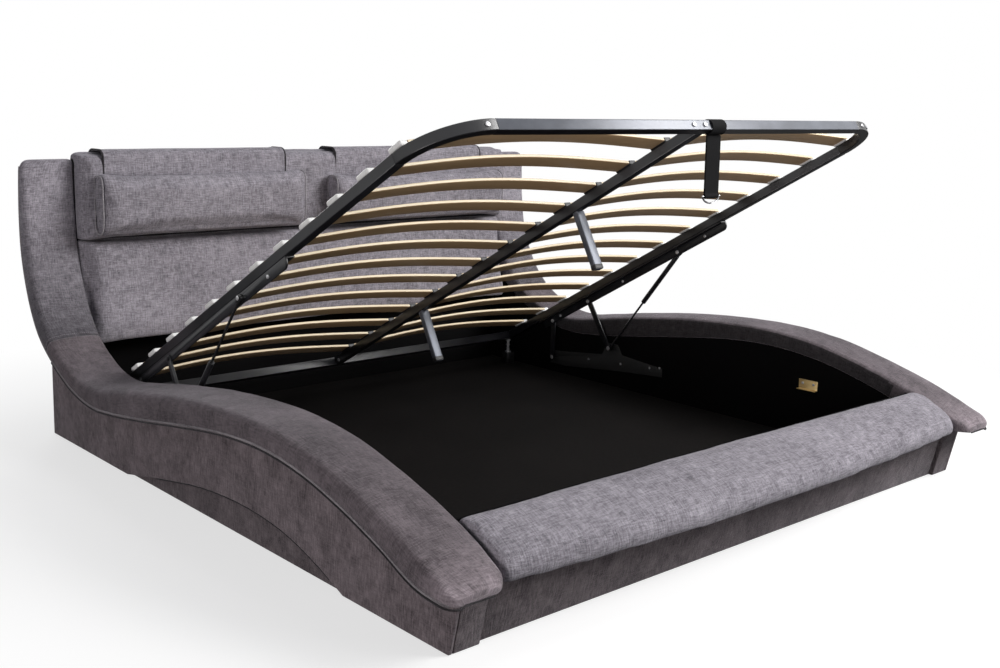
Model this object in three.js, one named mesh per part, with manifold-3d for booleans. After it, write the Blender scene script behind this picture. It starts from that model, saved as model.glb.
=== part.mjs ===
// An upholstered storage bed whose slatted platform stands open on its gas-lift frame.
// Millimetres. +X is across the bed, +Y runs from the foot to the head and +Z is up.
import * as THREE from "three";
import { mergeVertices } from "three/addons/utils/BufferGeometryUtils.js";
import Module from "manifold-3d";

const wasm = await Module();
wasm.setup();

// Upholstered base: overall sizes
const SIDE_LENGTH = 2124;
const INNER_HALF_WIDTH = 930;
const SIDE_DEPTH = 95;
const HEAD_HEIGHT = 950;
const FIT_GAP = 0.3;

// Side walls: a padded outer panel on a solid wall, with a lining board inside
const PANEL_THICKNESS = 12;
const LINING_THICKNESS = 8;
const FOOT_RAKE = 0.24;
const ARCH_RISE = 94;

// Bands: the padded rails that sweep up into the wings of the headboard
const BAND_WIDTH = 171;
const BAND_LIP = 1;
const BAND_THICKNESS = 66;
const BAND_BOARD = 18;
const BAND_TUCK = 3;
const BAND_EDGE = 20;
const BAND_CROWN = 4;
const BAND_CORNER = 28;
const BAND_EDGE_SHARE = 0.8;
const BAND_LEAST_DEPTH = 25;
const STATIONS_PER_SHARE = 2;

// Foot end: a panel between the blocks, a lining and a long pad
const FOOT_RECESS = 12;
const FOOT_DEPTH = 95;
const FOOT_PANEL_HEIGHT = 150;
const FOOT_PAD_TOP = 257;
const FOOT_PAD_REACH = 69;
const FOOT_PAD_BULGE = 48;
const FOOT_PAD_CROWN = 5;
const FOOT_PAD_STEPS = 16;
const FOOT_LINING_HEIGHT = 248;

// Head end and headboard
const HEAD_WALL_THICKNESS = 16;
const LOWER_PAD_BOTTOM = 305;
const UPPER_PAD_HEIGHT = 295;
const LOWER_PAD_FOOT_DEPTH = 124;
const LOWER_PAD_HEAD_DEPTH = 72;
const UPPER_PAD_DEPTH = 78;
const UPPER_PAD_WRAP = 25;
const PAD_CROWN = 8;
const PAD_EDGE = 22;
const PAD_STEPS = 6;
const UPPER_PAD_DROOP_SHARE = 0.4;
const UPPER_PAD_FOLD_SHARE = 0.3;
const HEADBOARD_THICKNESS = 24;

// Floor of the storage space
const FLOOR_TOP = 24;

// Bolsters, each with a flap that hangs it over the headboard
const BOLSTER_DEPTH = 86;
const BOLSTER_EDGE = 30;
const BOLSTER_TUCK = 14;
const BOLSTER_STEPS = 8;
const BOLSTER_GAP = 0.6;
const FLAP_THICKNESS = 5;
const FLAP_DROP = 150;
const FLAP_ROOT = 60;
const BOLSTER_LIFT = 2;
const BOLSTERS = {
  left: { side: -1, inner: 118, outer: 25, height: 229, flapInner: 50, flapOuter: 45 },
  right: { side: 1, inner: 6, outer: 80, height: 205, flapInner: 49, flapOuter: 74 },
};

// Lift frame: rectangular tubes, measured in its own plane from the foot
const FRAME_TILT = 28.6;
const OPEN_HEAD_GAP = 137.3;
const OPEN_HEAD_HEIGHT = 151.2;
const CLOSED_HEIGHT = 240;
const FRAME_FOOT_GAP = 8;
const FRAME_HEAD_GAP = 4.4;
const FRAME_SIDE_GAP = 27;
const FRAME_NOSE = 12;
const TUBE_WIDTH = 28;
const TUBE_DEPTH = 30;
const TUBE_WALL = 2;
const TUBE_EDGE = 4;
const CORNER_RADIUS = 175;
const CORNER_STEPS = 8;
const LEG_WIDTH = 32;
const LEG_DEPTH = 20;
const LEG_SHARES = [0.2636, 0.6894];
const LEG_CLEARANCE = 1;
const BOLT_RADIUS = 7;
const BOLT_HEIGHT = 4;
const FOOT_BOLT_SPACING = 45;

// Slats: two bowed slats to a row, in caps at the sides and in a holder over the mid rail
const SLAT_ROWS = 13;
const SLAT_FIRST = 148.7;
const SLAT_LAST_MARGIN = 109.3;
const SLAT_WIDTH = 56;
const SLAT_THICKNESS = 9;
const SLAT_RISE = 27;
const SLAT_STEPS = 6;
const CAP_LENGTH = 46;
const CAP_MARGIN = 4;
const CAP_HEIGHT = 15;
const HOLDER_HALF_LENGTH = 24;

// Lift mechanism, one set on each side
const PIVOT_DROP = 48;
const REAR_PIVOT_MARGIN = 283;
const PIVOT_SPACING = 228;
const STRUT_SPACING = 518;
const FRONT_LINK_LENGTH = 208;
const REAR_LINK_LENGTH = 155;
const LINK_THICKNESS = 5;
const LINK_WIDTH = 24;
const RAIL_FOOT_REACH = 251;
const RAIL_HEAD_REACH = 55;
const RAIL_THICKNESS = 4;
const RAIL_WEB = 30;
const RAIL_FLANGE = 28;
const PIN_RADIUS = 4.5;
const PIN_CLEARANCE = 0.5;
const PIN_HEAD_RADIUS = 8;
const PIN_HEAD_HEIGHT = 2.5;
const SIDE_GAP = 0.6;
const BASE_PLATE_THICKNESS = 3;
const BASE_PLATE_REACH = 265;
const BASE_PLATE_TAIL = 30;
const BASE_PLATE_ABOVE = 16;
const BASE_PLATE_BELOW = 31;
const CYLINDER_RADIUS = 9;
const CYLINDER_LENGTH = 275;
const CYLINDER_WALL = 3;
const ROD_RADIUS = 4;
const ROD_CLEARANCE = 0.6;
const ROD_END = 12;
const EYE_THICKNESS = 9;
const EYE_RADIUS = 10;
const EYE_REACH = 22;

// Pull strap with its ring, looped round the foot tube
const STRAP_CENTRE = 53.5;
const STRAP_WIDTH = 57;
const STRAP_THICKNESS = 2.5;
const STRAP_LOOP_RADIUS = 18.5;
const STRAP_LENGTH = 185;
const STRAP_EYE_RADIUS = 4;
const RING_WIRE_RADIUS = 2.5;
const RING_HALF_WIDTH = 34;
const RING_DROP = 19;

// Corner bracket screwed to the right-hand lining
const BRACKET_CENTRE_Y = 467;
const BRACKET_BOTTOM = 187;
const BRACKET_WIDTH = 74;
const BRACKET_HEIGHT = 34;
const BRACKET_THICKNESS = 2.5;
const BRACKET_LIP = 18;

// Smoothness of round work
const ROUND_STEPS = 12;
const ARC_STEPS = 3;
const ARCH_STEPS = 21;
const END_SHARES = [0, 0.12, 0.4, 1];
const MERGE_DISTANCE = 1e-4;

// Underside of a band from the foot tip to the wing top: along the side, above the floor, thickness
const BAND_SHARES = [
  [-0.045, 0.16, 0.4], [0.009, 0.172, 0.95], [0.066, 0.221, 0.92], [0.137, 0.272, 0.86],
  [0.212, 0.31, 0.86], [0.297, 0.328, 0.88], [0.386, 0.32, 0.97], [0.49, 0.29, 1.14],
  [0.603, 0.252, 1.2], [0.697, 0.225, 1.08], [0.763, 0.216, 0.92], [0.829, 0.238, 0.74],
  [0.885, 0.284, 0.7], [0.928, 0.333, 0.84], [0.96, 0.388, 0.97], [0.986, 0.468, 1],
  [1.005, 0.563, 0.97], [1.016, 0.658, 0.94], [1.019, 0.763, 0.86], [1.017, 0.863, 0.66],
  [1.012, 0.962, 0.42],
];
const WING_START = 13;

// Arch under the side panel: along the side and as a share of its rise
const ARCH_SHARES = [
  [0.184, 0], [0.24, 0.47], [0.313, 0.86], [0.405, 1], [0.51, 0.86], [0.62, 0.47], [0.73, 0],
];

// Foot pad's profile in front of its back edge: depth and height shares, and its share of the bulge
const FOOT_PAD_SHARES = [
  [0, 0, 0], [0, 0.88, 0], [0.07, 0.98, 0.05], [0.24, 1, 0.2], [0.45, 0.88, 0.4], [0.66, 0.71, 0.65],
  [0.87, 0.55, 0.9], [0.97, 0.36, 1], [1, 0.16, 1], [0.97, 0, 1],
];

// Lower pad's front from the top down: lean, crown and edge shares back, rise and edge shares up
const LOWER_PAD_SHARES = [
  [1, 0, 1, 1, 0], [1, 0, 0.3, 1, -0.3], [0.9, 0, 0, 1, -1], [0.7, 0.8, 0, 0.7, 0],
  [0.3, 1, 0, 0.3, 0], [0.05, 0.3, 0, 0, 0.5], [0, 0, 0.4, 0, 0],
];

// Base plate's outline: shares of its reach either side of the front pivot, and of its height
const BASE_PLATE_SHARES = [
  [-1, 0.36], [-0.3, 0.26], [0.3, 0.12], [0.75, 0], [1, 0], [1, 0.4], [0.82, 0.42], [0.15, 0.62],
  [0.08, 1], [-0.12, 1], [-0.21, 0.72], [-1, 0.6],
];

// Sizes that follow from those above
const HALF_WIDTH = INNER_HALF_WIDTH + SIDE_DEPTH;
const FOOT_LINING_FACE = FOOT_DEPTH + FIT_GAP + LINING_THICKNESS;
const HEAD_BACK = SIDE_LENGTH - FIT_GAP;
const LOWER_PAD_TOP = HEAD_HEIGHT - UPPER_PAD_HEIGHT;
const HEAD_WALL_FACE = HEAD_BACK - HEAD_WALL_THICKNESS;
const FRAME_HALF_WIDTH = INNER_HALF_WIDTH - FRAME_SIDE_GAP;
const CLOSED_PLACE = FOOT_LINING_FACE + FRAME_FOOT_GAP + FRAME_NOSE;
const FRAME_LENGTH = HEAD_WALL_FACE - FRAME_HEAD_GAP - CLOSED_PLACE;
const SLAT_PITCH = (FRAME_LENGTH - SLAT_FIRST - SLAT_LAST_MARGIN) / (SLAT_ROWS - 1);
const REAR_PIVOT = FRAME_LENGTH - REAR_PIVOT_MARGIN;
const FRONT_PIVOT = REAR_PIVOT - PIVOT_SPACING;
const STRUT_PIVOT = FRONT_PIVOT - STRUT_SPACING;
const RAIL_FOOT = STRUT_PIVOT - RAIL_FOOT_REACH;
const RAIL_HEAD = REAR_PIVOT + RAIL_HEAD_REACH;

const HALF_TURN = Math.PI;
const QUARTER_TURN = Math.PI / 2;
const FULL_TURN = Math.PI * 2;

// Finishes
const finishes = {
  chenille: new THREE.MeshStandardMaterial({ color: 0x8b8389, roughness: 0.95, metalness: 0 }),
  lining: new THREE.MeshStandardMaterial({ color: 0x161517, roughness: 0.9, metalness: 0 }),
  board: new THREE.MeshStandardMaterial({ color: 0x2a2725, roughness: 0.8, metalness: 0 }),
  steel: new THREE.MeshStandardMaterial({ color: 0x1d1d20, roughness: 0.35, metalness: 0.6 }),
  bright: new THREE.MeshStandardMaterial({ color: 0xb9b9bd, roughness: 0.25, metalness: 1 }),
  brass: new THREE.MeshStandardMaterial({ color: 0xa98545, roughness: 0.35, metalness: 1 }),
  birch: new THREE.MeshStandardMaterial({ color: 0xd9bd90, roughness: 0.5, metalness: 0 }),
  webbing: new THREE.MeshStandardMaterial({ color: 0x141416, roughness: 0.9, metalness: 0 }),
};

// Solids that are joined or cut
function cleaned(geometry) {
  const bare = geometry.clone();
  bare.deleteAttribute("normal");
  bare.deleteAttribute("uv");
  return mergeVertices(bare, MERGE_DISTANCE);
}

function solidOf(geometry) {
  const merged = cleaned(geometry);
  return new wasm.Manifold(new wasm.Mesh({
    numProp: 3,
    vertProperties: new Float32Array(merged.attributes.position.array),
    triVerts: new Uint32Array(merged.index.array),
  }));
}

function geometryOf(solid) {
  const mesh = solid.getMesh();
  const geometry = new THREE.BufferGeometry();
  geometry.setAttribute("position", new THREE.BufferAttribute(mesh.vertProperties, mesh.numProp));
  geometry.setIndex(new THREE.BufferAttribute(mesh.triVerts, 1));
  geometry.computeVertexNormals();
  return geometry;
}

function joined(first, ...others) {
  return geometryOf(others.reduce((sum, other) => sum.add(solidOf(other)), solidOf(first)));
}

// Plain shapes
const X_AXIS = new THREE.Vector3(1, 0, 0);
const Y_AXIS = new THREE.Vector3(0, 1, 0);
const Z_AXIS = new THREE.Vector3(0, 0, 1);
const ACROSS = new THREE.Matrix4().makeBasis(Y_AXIS, Z_AXIS, X_AXIS);

// A flat outline in Y and Z, given thickness along X
function slab(outline, near, far, holes = []) {
  const shape = new THREE.Shape(outline);
  for (const hole of holes) {
    const path = new THREE.Path();
    path.absarc(hole.x, hole.y, hole.radius, 0, FULL_TURN, true);
    shape.holes.push(path);
  }
  const settings = { depth: far - near, bevelEnabled: false, curveSegments: ROUND_STEPS };
  return new THREE.ExtrudeGeometry(shape, settings).applyMatrix4(ACROSS).translate(near, 0, 0);
}

function block(x, y, z) {
  const size = [x, y, z].map(([low, high]) => high - low);
  const middle = [x, y, z].map(([low, high]) => (high + low) / 2);
  return new THREE.BoxGeometry(...size).translate(...middle);
}

// A round bar along X at a point in Y and Z
function pin(y, z, radius, near, far) {
  const bar = new THREE.CylinderGeometry(radius, radius, far - near, ROUND_STEPS);
  return bar.rotateZ(QUARTER_TURN).translate((near + far) / 2, y, z);
}

function point(y, z) {
  return new THREE.Vector2(y, z);
}

// A bend of one radius in the plane of two axes, flattened where an axis is shorter than one
class Bend extends THREE.Curve {
  constructor(centre, radius, from, to, across, along) {
    super();
    Object.assign(this, { centre, radius, from, to, across, along });
  }

  getPoint(share) {
    const angle = this.from + (this.to - this.from) * share;
    return this.centre.clone()
      .addScaledVector(this.across, this.radius * Math.cos(angle))
      .addScaledVector(this.along, this.radius * Math.sin(angle));
  }
}

// How far a face draws back near an edge that is rounded to a radius
function edgeDip(distance, radius) {
  if (distance >= radius) return 0;
  return radius - Math.sqrt(radius * radius - (radius - distance) ** 2);
}

// A closed skin over a row of rings, each turning anticlockwise seen against the row's direction
function loft(rings) {
  const around = rings[0].points.length;
  const positions = rings.flatMap((ring) => ring.points.flatMap((p) => p.toArray()));
  const index = [];
  for (let row = 0; row + 1 < rings.length; row += 1) {
    for (let step = 0; step < around; step += 1) {
      const next = (step + 1) % around;
      const here = row * around;
      const ahead = here + around;
      index.push(here + step, here + next, ahead + next);
      index.push(here + step, ahead + next, ahead + step);
    }
  }
  const last = (rings.length - 1) * around;
  for (const [a, b, c] of THREE.ShapeUtils.triangulateShape(rings[0].flat, [])) index.push(c, b, a);
  for (const [a, b, c] of THREE.ShapeUtils.triangulateShape(rings.at(-1).flat, [])) {
    index.push(last + a, last + b, last + c);
  }
  const geometry = new THREE.BufferGeometry();
  geometry.setAttribute("position", new THREE.Float32BufferAttribute(positions, 3));
  geometry.setIndex(index);
  geometry.computeVertexNormals();
  return geometry;
}

// A loft along X, with a profile in Y and Z at each station
function loftAcross(from, to, stations, profileAt) {
  return loft(stations.map((station) => {
    const x = from + (to - from) * station;
    const flat = profileAt(x);
    return { flat, points: flat.map((p) => new THREE.Vector3(x, p.x, p.y)) };
  }));
}

// Stations from one end to the other, closer together over the rounded ends
function endedStations(steps, endShare) {
  const ends = END_SHARES.map((share) => share * endShare);
  const middle = [];
  for (let step = 1; step < steps; step += 1) middle.push(endShare + (1 - 2 * endShare) * (step / steps));
  return [...ends, ...middle, ...ends.map((share) => 1 - share).reverse()];
}

function arc(centre, radius, from, to, steps = ARC_STEPS) {
  const points = [];
  for (let step = 0; step <= steps; step += 1) {
    const angle = from + (to - from) * (step / steps);
    points.push(point(centre.x + radius * Math.cos(angle), centre.y + radius * Math.sin(angle)));
  }
  return points;
}

// Path of a band's underside in the plane of Y and Z
const bandPath = new THREE.CatmullRomCurve3(
  BAND_SHARES.map(([along, up]) => new THREE.Vector3(0, along * SIDE_LENGTH, up * HEAD_HEIGHT)),
);
const bandDepths = new THREE.CatmullRomCurve3(
  BAND_SHARES.map(([, , depth], place) => new THREE.Vector3(place, depth, 0)),
);

// The underside as the board's flat facets, and its height at a distance along the side
const BOARD_STEPS = (BAND_SHARES.length - 1) * STATIONS_PER_SHARE;
const SEAM_STATION = WING_START * STATIONS_PER_SHARE;
const bandLine = bandPath.getPoints(BOARD_STEPS).map((p) => point(p.y, p.z));

function bandHeight(y) {
  const ahead = bandLine.findIndex((p) => p.x > y);
  const [low, high] = [bandLine[ahead - 1], bandLine[ahead]];
  return THREE.MathUtils.mapLinear(y, low.x, high.x, low.y, high.y);
}

const bandInner = INNER_HALF_WIDTH - BAND_LIP;
const betweenBands = bandInner - FIT_GAP;
const bandTip = bandPath.getPoint(0);
const wingTip = bandPath.getPoint(1);

// Section of a band: across from its inner face, and out from its underside
function bandSection(low, high, padded) {
  if (!padded) return [point(0, low), point(BAND_WIDTH, low), point(BAND_WIDTH, high), point(0, high)];
  const edge = Math.min(BAND_EDGE, (high - low) * BAND_EDGE_SHARE);
  return [
    point(BAND_TUCK, low),
    point(BAND_WIDTH - BAND_TUCK, low),
    ...arc(point(BAND_WIDTH - edge, high - edge), edge, 0, QUARTER_TURN),
    point(BAND_WIDTH / 2, high + BAND_CROWN),
    ...arc(point(edge, high - edge), edge, QUARTER_TURN, HALF_TURN),
  ];
}

// A length of band between two stations, from the wing side towards the foot, on the right of the bed
function bandLength(from, to, layer) {
  const rings = [];
  for (let station = from; station >= to; station -= 1) {
    const share = station / BOARD_STEPS;
    const place = bandPath.getPoint(share);
    const tangent = bandPath.getTangent(share);
    const depth = bandDepths.getPoint(share).y * BAND_THICKNESS;
    const toEnd = Math.min(place.distanceTo(bandTip), place.distanceTo(wingTip));
    const trim = 1 - edgeDip(toEnd, BAND_CORNER) / BAND_WIDTH;
    const flat = bandSection(...layer(depth)).map((p) => point(p.x * trim, p.y));
    if (station === SEAM_STATION && station === from) place.addScaledVector(tangent, -FIT_GAP);
    if (station === SEAM_STATION && station === to) place.addScaledVector(tangent, FIT_GAP);
    const points = flat.map((p) => new THREE.Vector3(
      bandInner + p.x,
      place.y - tangent.z * p.y,
      place.z + tangent.y * p.y,
    ));
    rings.push({ flat, points });
  }
  return loft(rings);
}

const boardLayer = () => [0, BAND_BOARD, false];
const padLayer = (depth) => [BAND_BOARD + FIT_GAP, Math.max(depth, BAND_LEAST_DEPTH), true];

// The raked front of the foot end, at a height and set back by a recess
function rakedFront(height, recess = 0) {
  return recess - height * FOOT_RAKE;
}

// Side of the base under the band: the points given below, then back along the band to the front
function sideOutline(lowerPoints, front, back) {
  const under = (y) => point(y, bandHeight(y) - FIT_GAP);
  const between = bandLine.filter((p) => p.x > front && p.x < back).reverse();
  const top = between.map((p) => point(p.x, p.y - FIT_GAP));
  return [...lowerPoints, under(back), ...top, under(front)];
}

const raked = rakedFront(FOOT_PANEL_HEIGHT);
const wallOutline = sideOutline([point(0, 0), point(SIDE_LENGTH, 0)], raked, SIDE_LENGTH);
const archPath = new THREE.SplineCurve(
  ARCH_SHARES.map(([along, up]) => point(along * SIDE_LENGTH, up * ARCH_RISE)),
);
const panelOutline = sideOutline([
  point(0, 0),
  ...archPath.getPoints(ARCH_STEPS),
  point(SIDE_LENGTH, 0),
], raked, SIDE_LENGTH);
const liningFront = FOOT_DEPTH + FIT_GAP;
const liningOutline = sideOutline([
  point(liningFront, 0),
  point(SIDE_LENGTH, 0),
], liningFront, SIDE_LENGTH);

const WALL_INNER = INNER_HALF_WIDTH + LINING_THICKNESS;
const WALL_OUTER = HALF_WIDTH - PANEL_THICKNESS;

// Foot end
const footPanelShape = [
  point(rakedFront(0, FOOT_RECESS), 0),
  point(FOOT_DEPTH, 0),
  point(FOOT_DEPTH, FOOT_PANEL_HEIGHT),
  point(rakedFront(FOOT_PANEL_HEIGHT, FOOT_RECESS), FOOT_PANEL_HEIGHT),
];

function footPadProfile(x) {
  const middle = 1 - (x / betweenBands) ** 2;
  const bottom = FOOT_PANEL_HEIGHT + FIT_GAP;
  return FOOT_PAD_SHARES.map(([front, up, bulge]) => point(
    FOOT_DEPTH - front * (FOOT_DEPTH + FOOT_PAD_REACH) - bulge * middle * FOOT_PAD_BULGE,
    bottom + up * (FOOT_PAD_TOP - bottom + middle * FOOT_PAD_CROWN),
  ));
}

function footPad() {
  const stations = [];
  for (let step = 0; step <= FOOT_PAD_STEPS; step += 1) stations.push(step / FOOT_PAD_STEPS);
  return loftAcross(-betweenBands, betweenBands, stations, footPadProfile);
}

// Headboard
const boardFront = SIDE_LENGTH + FIT_GAP;
const boardBack = boardFront + HEADBOARD_THICKNESS;
const boardTop = HEAD_HEIGHT - UPPER_PAD_WRAP;
const upperFront = HEAD_BACK - UPPER_PAD_DEPTH;

function lowerPadProfile(x) {
  const dip = edgeDip(betweenBands - Math.abs(x), PAD_EDGE);
  const foot = HEAD_BACK - LOWER_PAD_FOOT_DEPTH + dip;
  const crown = PAD_CROWN * (1 - dip / PAD_EDGE);
  return [
    point(HEAD_BACK, LOWER_PAD_BOTTOM),
    point(HEAD_BACK, LOWER_PAD_TOP),
    ...LOWER_PAD_SHARES.map(([lean, bulge, back, up, edge]) => point(
      foot + lean * (LOWER_PAD_FOOT_DEPTH - LOWER_PAD_HEAD_DEPTH) - bulge * crown + back * PAD_EDGE,
      LOWER_PAD_BOTTOM + up * (LOWER_PAD_TOP - LOWER_PAD_BOTTOM) + edge * PAD_EDGE,
    )),
  ];
}

function upperPadProfile(x) {
  const dip = edgeDip(betweenBands - Math.abs(x), PAD_EDGE);
  const front = upperFront + dip;
  const top = HEAD_HEIGHT - dip * UPPER_PAD_DROOP_SHARE;
  const fold = PAD_EDGE * UPPER_PAD_FOLD_SHARE;
  const bottom = LOWER_PAD_TOP + FIT_GAP;
  const wrapBack = boardBack + PAD_CROWN;
  return [
    point(HEAD_BACK, bottom),
    point(HEAD_BACK, boardTop + FIT_GAP),
    point(wrapBack, boardTop + FIT_GAP),
    ...arc(point(wrapBack - PAD_EDGE / 2, top - PAD_EDGE / 2), PAD_EDGE / 2, 0, QUARTER_TURN),
    ...arc(point(front + PAD_EDGE, top - PAD_EDGE), PAD_EDGE, QUARTER_TURN, HALF_TURN),
    point(front, bottom + PAD_EDGE),
    point(front + fold, bottom + fold),
    point(front + PAD_EDGE, bottom),
  ];
}

// A bolster with its flap over the top of the headboard
function bolster({ side, inner, outer, height, flapInner, flapOuter }) {
  const bottom = LOWER_PAD_TOP + BOLSTER_LIFT;
  const top = bottom + height;
  const far = INNER_HALF_WIDTH - outer;
  const [from, to] = side > 0 ? [inner, far] : [-far, -inner];
  const flap = side > 0 ? [inner + flapInner, far - flapOuter] : [flapOuter - far, -inner - flapInner];
  const back = upperFront - BOLSTER_GAP;
  const stations = endedStations(BOLSTER_STEPS, BOLSTER_EDGE / (to - from));
  const cushion = loftAcross(from, to, stations, (x) => {
    const dip = edgeDip(Math.min(x - from, to - x), BOLSTER_TUCK);
    const front = back - BOLSTER_DEPTH + dip;
    const rear = back - dip;
    const high = top - dip;
    const low = bottom + dip;
    const edge = BOLSTER_EDGE - dip / 2;
    return [
      ...arc(point(rear - edge, low + edge), edge, -QUARTER_TURN, 0),
      ...arc(point(rear - edge, high - edge), edge, 0, QUARTER_TURN),
      ...arc(point(front + edge, high - edge), edge, QUARTER_TURN, HALF_TURN),
      point(front - PAD_CROWN / 2, (high + low) / 2),
      ...arc(point(front + edge, low + edge), edge, HALF_TURN, HALF_TURN + QUARTER_TURN),
    ];
  });
  const edge = PAD_EDGE / 2;
  const foot = back + edge;
  const head = boardBack + PAD_CROWN + BOLSTER_GAP;
  const ridge = HEAD_HEIGHT + BOLSTER_GAP - edge;
  const sheet = slab([
    point(back, top - FLAP_ROOT),
    ...arc(point(foot, ridge), edge, HALF_TURN, QUARTER_TURN),
    ...arc(point(head - edge, ridge), edge, QUARTER_TURN, 0),
    point(head, HEAD_HEIGHT - FLAP_DROP),
    point(head + FLAP_THICKNESS, HEAD_HEIGHT - FLAP_DROP),
    ...arc(point(head - edge, ridge), edge + FLAP_THICKNESS, 0, QUARTER_TURN),
    ...arc(point(foot, ridge), edge + FLAP_THICKNESS, QUARTER_TURN, HALF_TURN),
    point(back - FLAP_THICKNESS, top - FLAP_ROOT),
  ], ...flap);
  return joined(cushion, sheet);
}

// Floor board of the storage space
function floorBoard() {
  const half = INNER_HALF_WIDTH - FIT_GAP;
  return block([-half, half], [FOOT_LINING_FACE + FIT_GAP, HEAD_WALL_FACE - FIT_GAP], [0, FLOOR_TOP]);
}

// Lift frame, drawn flat: X across, Y from the foot, Z above the tubes' top face
function tubeSection(width, depth) {
  const outline = (w, d, edge) => {
    const x = w / 2;
    const y = d / 2;
    return [
      point(x, -y + edge), point(x, y - edge), point(x - edge, y), point(-x + edge, y),
      point(-x, y - edge), point(-x, -y + edge), point(-x + edge, -y), point(x - edge, -y),
    ];
  };
  const shape = new THREE.Shape(outline(width, depth, TUBE_EDGE));
  const bore = outline(width - TUBE_WALL * 2, depth - TUBE_WALL * 2, TUBE_EDGE / 2);
  shape.holes.push(new THREE.Path(bore.reverse()));
  return shape;
}

function tubeAlongX(from, to, y) {
  const settings = { depth: to - from, bevelEnabled: false };
  const tube = new THREE.ExtrudeGeometry(tubeSection(TUBE_WIDTH, TUBE_DEPTH), settings);
  return tube.applyMatrix4(ACROSS).translate(from, y, -TUBE_DEPTH / 2);
}

function tubeAlongY(from, to, x) {
  const settings = { depth: to - from, bevelEnabled: false };
  const tube = new THREE.ExtrudeGeometry(tubeSection(TUBE_WIDTH, TUBE_DEPTH), settings);
  return tube.rotateX(-QUARTER_TURN).translate(x, from, -TUBE_DEPTH / 2);
}

const sideTubeX = FRAME_HALF_WIDTH - TUBE_WIDTH / 2;
const footTubeY = TUBE_WIDTH / 2 - FRAME_NOSE;
const headTubeY = FRAME_LENGTH - TUBE_WIDTH / 2;
const cornerX = FRAME_HALF_WIDTH - CORNER_RADIUS;
const cornerY = CORNER_RADIUS - FRAME_NOSE;

// The bent tube that turns the right-hand side into the foot tube
function cornerTube() {
  const centre = new THREE.Vector3(cornerX, cornerY, 0);
  const path = new Bend(centre, CORNER_RADIUS - TUBE_WIDTH / 2, 0, -QUARTER_TURN, X_AXIS, Y_AXIS);
  const settings = { steps: CORNER_STEPS, extrudePath: path, bevelEnabled: false };
  const bent = new THREE.ExtrudeGeometry(tubeSection(TUBE_DEPTH, TUBE_WIDTH), settings);
  return bent.translate(0, 0, -TUBE_DEPTH / 2);
}

function boltHead(x, y, z) {
  const head = new THREE.CylinderGeometry(BOLT_RADIUS, BOLT_RADIUS, BOLT_HEIGHT, ROUND_STEPS / 2);
  return head.translate(x, y, z);
}

function footTube() {
  const reach = cornerX - FIT_GAP;
  const bolts = [-FOOT_BOLT_SPACING, 0].map((x) => boltHead(x, -FRAME_NOSE, -TUBE_DEPTH / 2));
  return joined(tubeAlongX(-reach, reach, footTubeY), ...bolts);
}

// One row of two bowed slats with their end caps and the holder over the mid rail
function slatRow() {
  const innerEnd = HOLDER_HALF_LENGTH / 2;
  const outerEnd = FRAME_HALF_WIDTH - CAP_LENGTH / 2;
  const seat = CAP_MARGIN + FIT_GAP;
  const bowed = (offset) => {
    const points = [];
    for (let step = 0; step <= SLAT_STEPS; step += 1) {
      const share = step / SLAT_STEPS;
      const rise = Math.sin(HALF_TURN * share) * SLAT_RISE;
      points.push(point(innerEnd + (outerEnd - innerEnd) * share, seat + offset + rise));
    }
    return points;
  };
  const outline = [...bowed(0), ...bowed(SLAT_THICKNESS).reverse()];
  const settings = { depth: SLAT_WIDTH, bevelEnabled: false };
  const flat = new THREE.ExtrudeGeometry(new THREE.Shape(outline), settings);
  const right = flat.rotateX(QUARTER_TURN).translate(0, SLAT_WIDTH / 2, 0);
  const left = right.clone().rotateZ(HALF_TURN);
  const capReach = SLAT_WIDTH / 2 + CAP_MARGIN;
  const across = [-capReach, capReach];
  const up = [FIT_GAP, FIT_GAP + CAP_HEIGHT];
  const capOuter = FRAME_HALF_WIDTH;
  const caps = [
    block([capOuter - CAP_LENGTH, capOuter], across, up),
    block([-capOuter, CAP_LENGTH - capOuter], across, up),
    block([-HOLDER_HALF_LENGTH, HOLDER_HALF_LENGTH], across, up),
  ];
  return joined(right, left, ...caps);
}

// Pivots of the mechanism, from the frame's two resting places
const tilt = THREE.MathUtils.degToRad(FRAME_TILT);
const frameOpen = point(
  HEAD_WALL_FACE - OPEN_HEAD_GAP - FRAME_LENGTH * Math.cos(tilt),
  OPEN_HEAD_HEIGHT + FRAME_LENGTH * Math.sin(tilt),
);

function openPlace(along, below) {
  return point(
    frameOpen.x + along * Math.cos(tilt) - below * Math.sin(tilt),
    frameOpen.y - along * Math.sin(tilt) - below * Math.cos(tilt),
  );
}

function closedPlace(along, below) {
  return point(CLOSED_PLACE + along, CLOSED_HEIGHT - below);
}

// The fixed point from which a link of one length reaches both places of its moving end
function fixedPivot(open, closed, length) {
  const middle = open.clone().add(closed).multiplyScalar(0.5);
  const span = closed.clone().sub(open);
  const height = Math.sqrt(length * length - span.lengthSq() / 4);
  const aside = point(span.y, -span.x).normalize();
  return middle.add(aside.multiplyScalar(height));
}

const frontTop = openPlace(FRONT_PIVOT, PIVOT_DROP);
const frontBase = fixedPivot(frontTop, closedPlace(FRONT_PIVOT, PIVOT_DROP), FRONT_LINK_LENGTH);
const rearTop = openPlace(REAR_PIVOT, PIVOT_DROP);
const rearBase = fixedPivot(rearTop, closedPlace(REAR_PIVOT, PIVOT_DROP), REAR_LINK_LENGTH);
const strutTop = openPlace(STRUT_PIVOT, PIVOT_DROP);
const strutLength = strutTop.distanceTo(frontBase);

// Places across the bed, from the frame's side tube out to the lining
const linkInner = FRAME_HALF_WIDTH + SIDE_GAP;
const linkOuter = linkInner + LINK_THICKNESS;
const plateInner = INNER_HALF_WIDTH - BASE_PLATE_THICKNESS - FIT_GAP;
const strutX = (FRAME_HALF_WIDTH + plateInner) / 2;
const eyeInner = strutX - EYE_THICKNESS / 2;

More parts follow.
